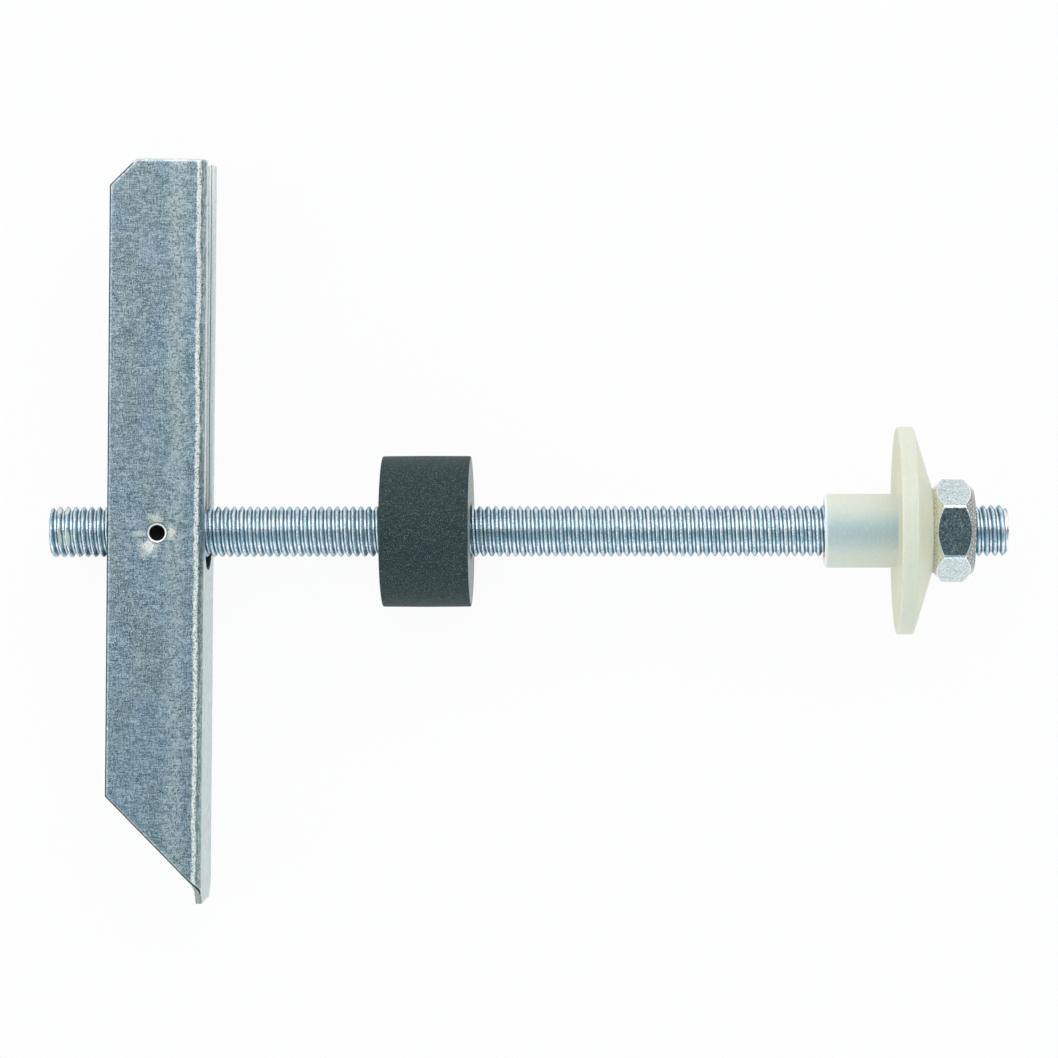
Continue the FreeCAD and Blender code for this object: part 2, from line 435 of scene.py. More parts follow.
@dataclass(frozen=True)
class NutPlate:
    """Zinc plate over the speckled skin of a pressed nut, with painted reflections on its two
    chamfers and painted highlights along the edges of its flats.
    """

    name: str = "nut_plate"
    steel: Colour = (0.59, 0.69, 0.70)
    # A dark painted reflection on the chamfer away from the washer, and a pale painted reflection
    # of the cream washer on the chamfer that faces it, marked pressed.
    worn: Colour = (0.30, 0.32, 0.29)
    pressed: Colour = (0.98, 0.97, 0.90)
    film: Grain = Grain(1.6, detail=2.0, rough=0.7)
    on_film: Coats = (Coat((0.65, 0.72, 0.79), 0.46, 0.62),)
    specks: Grain = Grain(0.34, rough=0.75)
    on_specks: Coats = (
        Coat((0.20, 0.28, 0.27), 0.48, 0.36, end=0.7),
        Coat((0.98, 0.99, 1.0), 0.53, 0.65, end=0.85),
    )
    roughness: Ramp = (0.3, 0.7, 0.06, 0.20)
    bump: float = 0.034

    def make(self) -> Material:
        """Build the material.

        Returns:
            The material.
        """
        material, sheet = new_material(self.name)
        film, specks = sheet.grain(self.film), sheet.grain(self.specks)
        colour = sheet.coated(self.steel, film, self.on_film)
        # Painted reflections on the two chamfers.
        colour = sheet.mix(sheet.mark("worn"), colour, self.worn)
        colour = sheet.mix(sheet.mark("pressed"), colour, self.pressed)
        colour = sheet.coated(colour, specks, self.on_specks)
        # Painted highlights along the rounded edges of the flats.
        colour = sheet.mix(sheet.mark("edge"), colour, WHITE)
        sheet.surface(
            Base_Color=colour,
            Metallic=1.0,
            Roughness=sheet.levels(specks, *self.roughness),
            Normal=sheet.relief(specks, self.bump),
        )
        return material


@dataclass(frozen=True)
class DrilledSteel:
    """The bottom of a drilled blind hole, painted near black as the shade deep in it."""

    name: str = "drilled_steel"
    # Painted shade: the hole is painted near black.
    hole_shade: Colour = (0.010, 0.010, 0.011)
    lumps: Grain = Grain(0.3, detail=2.0)
    on_lumps: Coats = (Coat((0.035, 0.034, 0.032), 0.45, 0.7),)
    roughness: float = 0.55
    bump: float = 0.03

    def make(self) -> Material:
        """Build the material.

        Returns:
            The material.
        """
        material, sheet = new_material(self.name)
        lumps = sheet.grain(self.lumps)
        colour = sheet.coated(self.hole_shade, lumps, self.on_lumps)
        bump = sheet.relief(lumps, self.bump)
        sheet.surface(Base_Color=colour, Roughness=self.roughness, Normal=bump)
        return material


@dataclass(frozen=True)
class RubbedHighlightSpot:
    """A bright spot on the leg beside the pivot, partly scuffed bright by the press and partly a
    painted highlight where the pierced dimple catches light.
    """

    to_bend: float
    along: float
    half_to_bend: float
    half_along: float
    colour: Colour


@dataclass(frozen=True)
class GalvanisedSkin:
    """Rolled galvanised sheet: mottled, scratched and crazed beside the bends, with painted
    highlights, shade and reflections at the bends, round the pivots and on the edges.

    Places across the sheet are measured from where a leg's bend ends, and round a pivot from its
    middle.
    """

    name: str = "galvanised_skin"
    blue_grey: Colour = (0.27, 0.41, 0.54)
    rim: Colour = (0.80, 0.85, 0.85)
    roughness: Ramp = (0.3, 0.7, 0.26, 0.50)
    metal: Ramp = (0.935, 0.985, 1.0, 0.15)
    bump: float = 0.03

    mottle: Grain = Grain(7.0, (1, 0.5, 1), detail=2.0)
    on_mottle: Coats = (Coat((0.26, 0.38, 0.43), 0.38, 0.62),)
    clouds: Grain = Grain(1.5, (0.8, 1.6, 1), rough=0.65)
    on_clouds: Coats = (
        Coat(PALE_SHEET, 0.52, 0.68, end=0.34),
        Coat(DARK_SHEET, 0.48, 0.32, end=0.42),
    )
    fine: Grain = Grain(0.24, detail=2.0, rough=0.7)
    on_fine: Coats = (
        Coat(PALE_SHEET, 0.51, 0.64, end=0.72),
        Coat(DARK_SHEET, 0.49, 0.36, end=0.78),
    )
    curls: Grain = Grain(0.8, detail=2.0, twist=1.6)
    stroke: Band = (0.5, 0.012, 0.03)
    stroke_share: Ramp = (0.44, 0.6, 0.1, 0.6)
    weft: Grain = Grain(1.3, (1, 6, 1), detail=2.0)
    warp: Grain = Grain(1.3, (6, 1, 1), detail=2.0)
    on_weave: Coats = (
        Coat(PALE_SHEET, 1.02, 1.22, end=0.42),
        Coat(DARK_SHEET, 0.98, 0.78, end=0.48),
    )
    lines: Grain = Grain(14.0, (0.35, 42.0, 1), detail=1.0)
    on_lines: Coats = (Coat(PALE_SHEET, 0.71, 0.75, end=0.5),)
    sparks: Grain = Grain(0.24, detail=0.0)
    on_sparks: Coats = (Coat(WHITE, 0.80, 0.84),)

    sway: Grain = Grain(7.0, (0.1, 1, 0.1), rough=0.7)
    jitter: Grain = Grain(0.9, (0.1, 1, 0.1), detail=2.0)
    crazed: Band = (2.9, 0.8, 1.5)
    crazed_sway: float = 4.0
    crazed_share: Ramp = (0.48, 0.58, 0.0, 0.6)
    warm: Colour = (0.82, 0.87, 0.84)
    streaks: Grain = Grain(0.42, (1, 0.26, 0.9), rough=0.75)
    # The web, seen edge-on, is painted paler: a painted reflection of the white background,
    # streaked by the grain.
    web_from: Ramp = (-2.0, -2.4, 0.0, 0.88)
    web: Colour = (0.56, 0.63, 0.66)
    on_web: Coats = (Coat((0.88, 0.92, 0.93), 0.36, 0.62),)
    bend_sway: float = 0.6
    bend_jitter: float = 0.45
    # Painted shade round the outer bend, lightened by the streaks.
    shade: Band = (-1.5, 0.38, 0.3)
    shade_share: Ramp = (0.6, 0.4, 0.25, 0.85)
    bend_shade: Colour = (0.10, 0.14, 0.14)
    on_bend_shade: Coats = (Coat((0.56, 0.63, 0.62), 0.44, 0.64),)
    # A painted highlight line where the bend starts.
    bend_highlight: Band = (-0.72, 0.20, 0.26)
    bend_highlight_share: Ramp = (0.34, 0.50, 0.05, 1.0)

    pivot_from_bend: float = 6.4
    ragged: Grain = Grain(1.3, rough=0.7)
    ragged_reach: float = 1.6
    spot_edge: FlatPoint = (1.1, 0.4)
    spot_share: Ramp = (0.32, 0.50, 0.35, 1.0)
    # Bright spots round the pivot, partly scuffed by the press and partly painted highlight on the
    # pierced dimple.
    spots: tuple[RubbedHighlightSpot, ...] = (
        RubbedHighlightSpot(0.2, 2.6, 1.8, 1.1, (0.90, 0.92, 0.83)),
        RubbedHighlightSpot(-2.6, 0.1, 1.1, 1.8, (1.0, 0.97, 0.85)),
        RubbedHighlightSpot(1.6, -2.7, 2.2, 2.0, (1.0, 0.985, 0.97)),
        RubbedHighlightSpot(3.4, -0.2, 2.2, 0.6, (0.80, 0.84, 0.84)),
    )
    # Round each pivot: a dark ring, a painted highlight on the rounded mouth, and painted shade in
    # the bore.
    mouth_line: Band = (1.96, 0.05, 0.1)
    mouth_line_share: float = 0.6
    mouth: Band = (1.64, 0.1, 0.09)
    bore_shade_from: Ramp = (1.5, 1.42, 0.0, 0.9)
    bore: Colour = (0.05, 0.05, 0.05)

    # A painted highlight on the rounded edges, just below the outer face.
    rim_highlight: Band = (0.975, 0.012, 0.01)
    rim_highlight_share: Ramp = (0.3, 0.5, 0.05, 0.45)
    rim_highlight_colour: Colour = (0.85, 0.90, 0.88)
    # Painted shade on the channel's inner face.
    inside: Ramp = (0.6, 0.4, 0.0, 0.4)

    def make(self) -> Material:
        """Build the material.

        Returns:
            The material.
        """
        material, sheet = new_material(self.name)
        fine, curls = sheet.grain(self.fine), sheet.grain(self.curls)
        colour = self.milled(sheet, fine, curls)
        colour = self.folded(sheet, colour, fine, curls)
        colour = self.pierced(sheet, colour, fine)
        depth = sheet.mark("across_sheet")
        # Painted highlight on the rounded edges.
        rim_highlight = sheet.both(sheet.band(depth, *self.rim_highlight), sheet.levels(fine, *self.rim_highlight_share))
        colour = sheet.mix(rim_highlight, colour, self.rim_highlight_colour)
        # Painted shade inside the channel.
        colour = sheet.mix(sheet.levels(depth, *self.inside), colour, DARK_SHEET)
        # The palest colours, the painted highlights among them, turn from metal towards plain paint
        # so that they stay bright.
        paleness = sheet.add("ShaderNodeRGBToBW", {"Color": colour}).outputs["Val"]
        sheet.surface(
            Base_Color=colour,
            Metallic=sheet.levels(paleness, *self.metal),
            Roughness=sheet.levels(fine, *self.roughness),
            Specular_Tint=self.rim,
            Normal=sheet.relief(fine, self.bump, sheet.relief(curls, self.bump)),
        )
        return material

    def milled(self, sheet: NodeSheet, fine: Socket, curls: Socket) -> Socket:
        """The sheet as it came from the mill: mottle, grain, curled strokes and fine scratches.

        Args:
            sheet: the writer of the nodes.
            fine: the fine grain.
            curls: the curled strokes.

        Returns:
            The colour.
        """
        mottle, clouds = sheet.grain(self.mottle), sheet.grain(self.clouds)
        weave = sheet.maths("ADD", sheet.grain(self.weft), sheet.grain(self.warp))
        lines, sparks = sheet.grain(self.lines), sheet.grain(self.sparks)
        colour = sheet.coated(self.blue_grey, mottle, self.on_mottle)
        colour = sheet.coated(colour, clouds, self.on_clouds)
        colour = sheet.coated(colour, fine, self.on_fine)
        share = sheet.levels(clouds, *self.stroke_share)
        strokes = sheet.both(sheet.band(curls, *self.stroke), share)
        colour = sheet.mix(strokes, colour, PALE_SHEET)
        colour = sheet.coated(colour, weave, self.on_weave)
        colour = sheet.coated(colour, lines, self.on_lines)
        return sheet.coated(colour, sparks, self.on_sparks)

    def folded(self, sheet: NodeSheet, colour: Socket, fine: Socket, curls: Socket) -> Socket:
        """What folding did, a crazed band, and painted light on the bend: a painted reflection on
        the web, painted shade round the bend and a painted highlight where it starts.

        Args:
            sheet: the writer of the nodes.
            colour: the colour before it.
            fine: the fine grain.
            curls: the curled strokes.

        Returns:
            The colour.
        """
        from_bend = sheet.mark("from_bend")
        sway, jitter = sheet.grain(self.sway), sheet.grain(self.jitter)
        crazed = sheet.band(sheet.swayed(from_bend, sway, self.crazed_sway), *self.crazed)
        crazed = sheet.both(crazed, sheet.levels(curls, *self.crazed_share))
        colour = sheet.mix(crazed, colour, self.warm)
        streaks = sheet.grain(self.streaks)
        # Painted reflection on the web.
        streaked_web_reflection = sheet.coated(self.web, streaks, self.on_web)
        colour = sheet.mix(sheet.levels(from_bend, *self.web_from), colour, streaked_web_reflection)
        place = sheet.swayed(from_bend, sway, self.bend_sway)
        place = sheet.swayed(place, jitter, self.bend_jitter)
        # Painted shade round the bend.
        shade = sheet.levels(fine, *self.shade_share)
        shade = sheet.both(sheet.band(place, *self.shade), shade)
        colour = sheet.mix(shade, colour, sheet.coated(self.bend_shade, streaks, self.on_bend_shade))
        # Painted highlight where the bend starts.
        bend_highlight = sheet.levels(fine, *self.bend_highlight_share)
        bend_highlight = sheet.both(sheet.band(place, *self.bend_highlight), bend_highlight)
        return sheet.mix(bend_highlight, colour, BRIGHT_SHEET)

    def pierced(self, sheet: NodeSheet, colour: Socket, fine: Socket) -> Socket:
        """Round the pivots: bright spots, partly scuffed and partly painted highlight, a dark ring,
        a painted highlight on the mouth and painted shade in the bore.

        Args:
            sheet: the writer of the nodes.
            colour: the colour before it.
            fine: the fine grain.

        Returns:
            The colour.
        """
        across = sheet.maths("SUBTRACT", sheet.mark("from_bend"), self.pivot_from_bend)
        along = sheet.mark("along")
        broken = sheet.levels(fine, *self.spot_share)
        ragged = sheet.grain(self.ragged)
        for spot in self.spots:
            u = sheet.maths("SUBTRACT", across, spot.to_bend)
            v = sheet.maths("SUBTRACT", along, spot.along)
            u = sheet.maths("DIVIDE", u, spot.half_to_bend)
            v = sheet.maths("DIVIDE", v, spot.half_along)
            away = sheet.swayed(sheet.distance(u, v), ragged, self.ragged_reach)
            share = sheet.both(sheet.levels(away, *self.spot_edge), broken)
            colour = sheet.mix(share, colour, spot.colour)
        away = sheet.distance(across, along)
        line = sheet.both(sheet.band(away, *self.mouth_line), self.mouth_line_share)
        colour = sheet.mix(line, colour, DARK_SHEET)
        # Painted highlight on the mouth, and painted shade in the bore.
        colour = sheet.mix(sheet.band(away, *self.mouth), colour, BRIGHT_SHEET)
        return sheet.mix(sheet.levels(away, *self.bore_shade_from), colour, self.bore)


@dataclass(frozen=True)
class ShearedEdge:
    """The cut faces of the sheet: bright with a dark line in the slot, torn at the tongue, with
    painted shade at the slot's end and on the outer rounding of the edges.
    """

    name: str = "sheared_edge"
    burnished: Colour = (0.95, 0.96, 0.94)
    grain: Grain = Grain(0.3, rough=0.7)
    on_burnished: Coats = (Coat((0.72, 0.76, 0.73), 0.42, 0.62),)
    unevenness: Grain = Grain(1.1, detail=2.0)
    unevenness_reach: float = 0.1
    line: Band = (0.40, 0.02, 0.05)
    line_colour: Colour = (0.10, 0.06, 0.05)
    torn: Colour = (0.26, 0.31, 0.28)
    on_torn: Coats = (Coat((0.52, 0.56, 0.50), 0.44, 0.62),)
    torn_from: FlatPoint = (-50.0, -52.0)
    web_from: FlatPoint = (-2.2, -2.8)
    # Painted shade on the cut face at the slot's rounded end, in the rod's shadow.
    slot_end_shade: Band = (-5.6, 1.3, 1.0)
    slot_end_shade_colour: Colour = (0.03, 0.035, 0.03)
    # Painted shade: a dark line where the rolled edge turns down, off the web and short of the top
    # end.
    rolled_edge_shade_from: FlatPoint = (0.72, 0.76)
    top_end: Ramp = (69.1, 68.7, 0.2, 1.0)
    rolled_edge_shade: Colour = (0.014, 0.022, 0.019)
    metal: float = 0.3
    roughness: float = 0.5
    shine: float = 0.2
    bump: float = 0.04

    def make(self) -> Material:
        """Build the material.

        Returns:
            The material.
        """
        material, sheet = new_material(self.name)
        across, along = sheet.mark("across_sheet"), sheet.mark("along")
        grain = sheet.grain(self.grain)
        colour = sheet.coated(self.burnished, grain, self.on_burnished)
        uneven = sheet.swayed(across, sheet.grain(self.unevenness), self.unevenness_reach)
        colour = sheet.mix(sheet.band(uneven, *self.line), colour, self.line_colour)
        torn = sheet.coated(self.torn, grain, self.on_torn)
        colour = sheet.mix(sheet.levels(along, *self.torn_from), colour, torn)
        on_web = sheet.levels(sheet.mark("from_bend"), *self.web_from)
        # Painted shade at the slot's end.
        slot_end_shade = sheet.both(sheet.band(along, *self.slot_end_shade), on_web)
        colour = sheet.mix(slot_end_shade, colour, self.slot_end_shade_colour)
        off_web = sheet.maths("SUBTRACT", 1.0, on_web)
        # Painted shade on the outer rounding of the edges.
        outside = sheet.both(sheet.levels(across, *self.rolled_edge_shade_from), off_web)
        outside = sheet.both(outside, sheet.levels(along, *self.top_end))
        colour = sheet.mix(outside, colour, self.rolled_edge_shade)
        sheet.surface(
            Base_Color=colour,
            Metallic=self.metal,
            Roughness=self.roughness,
            Specular_IOR_Level=self.shine,
            Normal=sheet.relief(grain, self.bump),
        )
        return material


@dataclass(frozen=True)
class SleeveRubber:
    """Dark slate rubber with a fine pale bloom."""

    name: str = "sleeve_rubber"
    slate: Colour = (0.012, 0.032, 0.036)
    cloud: Grain = Grain(6.0, detail=2.0)
    on_cloud: Coats = (Coat((0.014, 0.035, 0.035), 0.35, 0.65),)
    specks: Grain = Grain(0.21, rough=0.7)
    on_specks: Coats = (
        Coat((0.17, 0.23, 0.225), 0.53, 0.66, end=0.7),
        Coat((0.004, 0.011, 0.014), 0.50, 0.38, end=0.9),
    )
    dust: Grain = Grain(0.22, detail=0.0)
    on_dust: Coats = (Coat((0.42, 0.54, 0.56), 0.78, 0.85, end=0.3),)
    roughness: Ramp = (0.3, 0.7, 0.56, 0.76)
    shine: float = 0.35
    bump: float = 0.05

    def make(self) -> Material:
        """Build the material.

        Returns:
            The material.
        """
        material, sheet = new_material(self.name)
        cloud, specks = sheet.grain(self.cloud), sheet.grain(self.specks)
        dust = sheet.grain(self.dust)
        colour = sheet.coated(self.slate, cloud, self.on_cloud)
        colour = sheet.coated(colour, specks, self.on_specks)
        colour = sheet.coated(colour, dust, self.on_dust)
        sheet.surface(
            Base_Color=colour,
            Roughness=sheet.levels(specks, *self.roughness),
            Specular_IOR_Level=self.shine,
            Normal=sheet.relief(specks, self.bump),
        )
        return material


@dataclass(frozen=True)
class CutRubber:
    """The knife-cut ends of the sleeve, smoother and paler than its outside."""

    name: str = "cut_rubber"
    slate: Colour = (0.17, 0.20, 0.18)
    dark: Colour = (0.05, 0.07, 0.07)
    strokes: Grain = Grain(0.5, (1, 0.4, 1.6), rough=0.7)
    on_strokes: Coats = (Coat((0.40, 0.44, 0.39), 0.42, 0.60),)
    ring_sway: float = 0.5
    rings_per_mm: float = 0.62
    ring: Band = (0.5, 0.05, 0.14)
    ring_share: float = 0.4
    roughness: float = 0.42
    bump: float = 0.03

    def make(self) -> Material:
        """Build the material.

        Returns:
            The material.
        """
        material, sheet = new_material(self.name)
        strokes = sheet.grain(self.strokes)
        away = sheet.swayed(sheet.mark("from_axis"), strokes, self.ring_sway)
        rings = sheet.maths("FRACT", sheet.maths("MULTIPLY", away, self.rings_per_mm))
        colour = sheet.coated(self.slate, strokes, self.on_strokes)
        share = sheet.both(sheet.band(rings, *self.ring), self.ring_share)
        colour = sheet.mix(share, colour, self.dark)
        bump = sheet.relief(strokes, self.bump)
        sheet.surface(Base_Color=colour, Roughness=self.roughness, Normal=bump)
        return material


@dataclass(frozen=True)
class NaturalNylon:
    """Natural nylon: cream and slightly see-through, with a painted bluish shade where the rod
    would show through the boss, and a painted light on the boss's end.
    """

    name: str = "natural_nylon"
    cream: Colour = (0.80, 0.765, 0.565)
    pale: Colour = (0.83, 0.80, 0.615)
    rim: Colour = (0.735, 0.735, 0.60)
    boss: Colour = (0.72, 0.74, 0.66)
    # Painted light on the boss's end face and in the bore.
    boss_end_light: Colour = (0.95, 0.95, 0.90)
    # Painted shade: the rod showing through the boss, painted bluish in a band over it.
    rod_show_through_shade: Colour = (0.45, 0.56, 0.57)
    boss_radius: float = 6.95
    thin_within: FlatPoint = (0.9, 0.2)
    boss_end_light_within: FlatPoint = (-0.01, -0.2)
    show_through_within: FlatPoint = (5.6, 0.4)
    rim_from: FlatPoint = (19.1, 19.3)
    cloud: Grain = Grain(3.0)
    pale_from: FlatPoint = (0.38, 0.64)
    fine: Grain = Grain(0.4, (1, 0.35, 1), detail=2.0, rough=0.7)
    on_fine: Coats = (
        Coat((0.84, 0.85, 0.78), 0.52, 0.68, end=0.2),
        Coat((0.48, 0.50, 0.42), 0.48, 0.32, end=0.14),
    )
    roughness: Ramp = (0.3, 0.7, 0.36, 0.46)
    ior: float = 1.53
    glow: float = 0.35
    glow_spread: Colour = (1.0, 0.95, 0.8)
    glow_reach: float = 1.8
    bump: float = 0.015

    def make(self) -> Material:
        """Build the material.

        Returns:
            The material.
        """
        material, sheet = new_material(self.name)
        cloud, fine = sheet.grain(self.cloud), sheet.grain(self.fine)
        from_axis = sheet.mark("from_axis")
        colour = sheet.mix(sheet.levels(cloud, *self.pale_from), self.cream, self.pale)
        colour = sheet.mix(sheet.levels(from_axis, *self.rim_from), colour, self.rim)
        aside = sheet.maths("ABSOLUTE", sheet.axis("Y"))
        middle = sheet.levels(aside, *(edge * MM for edge in self.show_through_within))
        thin = sheet.levels(from_axis, *(self.boss_radius + edge for edge in self.thin_within))
        colour = sheet.mix(thin, colour, self.boss)
        # Painted shade of the rod seen through the boss.
        colour = sheet.mix(sheet.both(thin, middle), colour, self.rod_show_through_shade)
        # Painted light on the boss's end and bore.
        boss_end_light = sheet.levels(from_axis, *(self.boss_radius + edge for edge in self.boss_end_light_within))
        colour = sheet.mix(boss_end_light, colour, self.boss_end_light)
        colour = sheet.coated(colour, fine, self.on_fine)
        sheet.surface(
            Base_Color=colour,
            Roughness=sheet.levels(fine, *self.roughness),
            IOR=self.ior,
            Subsurface_Weight=self.glow,
            Subsurface_Radius=self.glow_spread,
            Subsurface_Scale=self.glow_reach * MM,
            Normal=sheet.relief(fine, self.bump),
        )
        return material


@dataclass(frozen=True)
class PaleFloor:
    """A plain floor that keeps a soft shadow and hides no piece that a pose takes below it.

    Most of it is clear to the rays that see the background, which is white behind it.
    """

    name: str = "pale_floor"
    paint: Colour = (0.86, 0.86, 0.86)
    shadow_share: float = 0.06

    def make(self) -> Material:
        """Build the material.

        Returns:
            The material.
        """
        material, sheet = new_material(self.name)
        paint = sheet.add("ShaderNodeBsdfDiffuse", {"Color": self.paint}).outputs[0]
        clear = sheet.add("ShaderNodeBsdfTransparent").outputs[0]
        below = sheet.add("ShaderNodeNewGeometry").outputs["Backfacing"]
        kept = sheet.blend(self.shadow_share, clear, paint)
        top = sheet.blend(background_rays(sheet), paint, kept)
        both = sheet.blend(below, top, clear)
        sheet.add("ShaderNodeOutputMaterial", {"Surface": both})
        return material


def background_rays(sheet: NodeSheet) -> Socket:
    """1 for each kind of ray that sees the background, and 0 for the others.

    Args:
        sheet: the writer of the nodes.

    Returns:
        The value's socket.
    """
    path = sheet.add("ShaderNodeLightPath")
    seen = sheet.maths("ADD", path.outputs[Rays.CAMERA.value], path.outputs[Rays.GLOSSY.value])
    return sheet.maths("ADD", seen, path.outputs[Rays.TRANSMISSION.value], clamp=True)


# The first two are in metres, as the finished meshes are.
MERGE_REACH = 2e-7
NO_LENGTH = 1e-7
TINY = 1e-6
ROUNDING_DEG = 1e-9
MOST_OF_A_SIDE = 0.45


class MeshDraft:
    """Points and faces of one piece, gathered in millimetres before they become a mesh."""

    def __init__(self) -> None:
        """Start empty."""
        self.points: list[np.ndarray] = []
        self.faces: list[tuple[int, ...]] = []
        self.finishes: list[int] = []
        self.marks: dict[str, list[np.ndarray]] = {}
        self.count = 0

    def add_points(self, points: np.ndarray, **marks: np.ndarray) -> np.ndarray:
        """Add points.

        Args:
            points: rows of x, y and z.
            marks: values that go with the points, by name.

        Returns:
            The points' numbers.
        """
        numbers = np.arange(self.count, self.count + len(points))
        for name in set(self.marks) | set(marks):
            kept = self.marks.setdefault(name, [np.zeros(self.count)])
            kept.append(np.asarray(marks.get(name, np.zeros(len(points))), float))
        self.points.append(np.asarray(points, float))
        self.count += len(points)
        return numbers

    def add_face(self, corners: tuple[int, ...], finish: int = 0) -> None:
        """Add a face with the number of its material."""
        self.faces.append(tuple(int(c) for c in corners))
        self.finishes.append(finish)

    def add_grid(
        self, numbers: np.ndarray, finishes: list[int] | None = None, closed: bool = True
    ) -> None:
        """Join rings of points with quads.

        Args:
            numbers: one row of point numbers for each ring.
            finishes: the material of each band between two rings.
            closed: whether each ring's last point meets its first.
        """
        steps = numbers.shape[1] if closed else numbers.shape[1] - 1
        for band in range(len(numbers) - 1):
            finish = finishes[band] if finishes else 0
            for i in range(steps):
                j = (i + 1) % numbers.shape[1]
                here, there = numbers[band], numbers[band + 1]
                self.add_face((here[i], here[j], there[j], there[i]), finish)

    def build(self, name: str, materials: list[Material], sharp_deg: float = 40.0) -> Piece:
        """Make the object.

        Args:
            name: its name.
            materials: its materials, in order.
            sharp_deg: edges that turn by more than this stay sharp.

        Returns:
            The object, in metres, with its points merged where they meet.
        """
        mesh = bpy.data.meshes.new(name)
        points = np.concatenate(self.points) * MM
        mesh.from_pydata(points.tolist(), [], self.faces)
        for mark, parts in self.marks.items():
            values = np.concatenate(parts).astype(np.float32)
            mesh.attributes.new(mark, "FLOAT", "POINT").data.foreach_set("value", values)
        mesh.polygons.foreach_set("material_index", np.array(self.finishes, np.int32))
        for material in materials:
            mesh.materials.append(material)
        self.merge(mesh)
        mesh.polygons.foreach_set("use_smooth", np.ones(len(mesh.polygons), bool))
        mesh.set_sharp_from_angle(angle=math.radians(sharp_deg))
        piece = bpy.data.objects.new(name, mesh)
        bpy.context.scene.collection.objects.link(piece)
        weights = piece.modifiers.new("face_weights", "WEIGHTED_NORMAL")
        weights.keep_sharp = True
        return piece

    @staticmethod
    def merge(mesh: bpy.types.Mesh) -> None:
        """Merge the points that meet and drop the faces that have no area.

        Args:
            mesh: the mesh.
        """
        draft = bmesh.new()
        draft.from_mesh(mesh)
        bmesh.ops.remove_doubles(draft, verts=draft.verts, dist=MERGE_REACH)
        bmesh.ops.dissolve_degenerate(draft, dist=NO_LENGTH, edges=draft.edges)
        bmesh.ops.recalc_face_normals(draft, faces=draft.faces)
        draft.to_mesh(mesh)
        draft.free()


def round_trip(x: np.ndarray, radius: np.ndarray, turn: np.ndarray) -> np.ndarray:
    """Points about the rod's axis.

    Args:
        x: places along the rod.
        radius: distances from the rod's axis.
        turn: angles in radians, from +Y towards +Z.

    Returns:
        Rows of x, y and z.
    """
    x, radius, turn = np.broadcast_arrays(x, radius, turn)
    y = radius * np.cos(turn)
    z = AXIS_HEIGHT + radius * np.sin(turn)
    return np.stack([x, y, z], axis=-1).reshape(-1, 3)


def filleted(corners: list[FlatPoint], radii: list[float], steps: int) -> np.ndarray:
    """Round the corners of a profile.

    Args:
        corners: the profile's corners.
        radii: the round of each corner, 0 to keep it.
        steps: how many chords each round has.

    Returns:
        The rounded profile's points, always as many for the same radii that aren't 0.
    """
    points = [np.array(c, float) for c in corners]
    rounded: list[np.ndarray] = []
    for k, (corner, radius) in enumerate(zip(points, radii)):
        if radius == 0:
            rounded.append(corner)
            continue
        before = points[k - 1] - corner
        after = points[(k + 1) % len(points)] - corner
        lengths = np.linalg.norm(before), np.linalg.norm(after)
        before, after = before / lengths[0], after / lengths[1]
        half = math.acos(float(np.clip(before @ after, -1, 1))) / 2
        cut = min(radius / max(math.tan(half), TINY), MOST_OF_A_SIDE * min(lengths))
        start, end = corner + before * cut, corner + after * cut
        for step in range(steps + 1):
            t = step / steps
            rounded.append((1 - t) ** 2 * start + 2 * t * (1 - t) * corner + t * t * end)
    return np.array(rounded)


def turned_piece(
    profile: np.ndarray, segments: int, band_finish: list[int] | None = None
) -> MeshDraft:
    """Turn a closed profile about the rod's axis.

    Args:
        profile: rows of x and radius, round the section.
        segments: how many steps the turn has.
        band_finish: the material of the band after each of the profile's points.

    Returns:
        The draft of the piece.
    """
    draft = MeshDraft()
    turns = full_turn(segments)
    rings = []
    for x, radius in profile:
        away = np.full(segments, radius)
        rings.append(draft.add_points(round_trip(x, radius, turns), from_axis=away))
    rings.append(rings[0])
    draft.add_grid(np.array(rings), band_finish)
    return draft


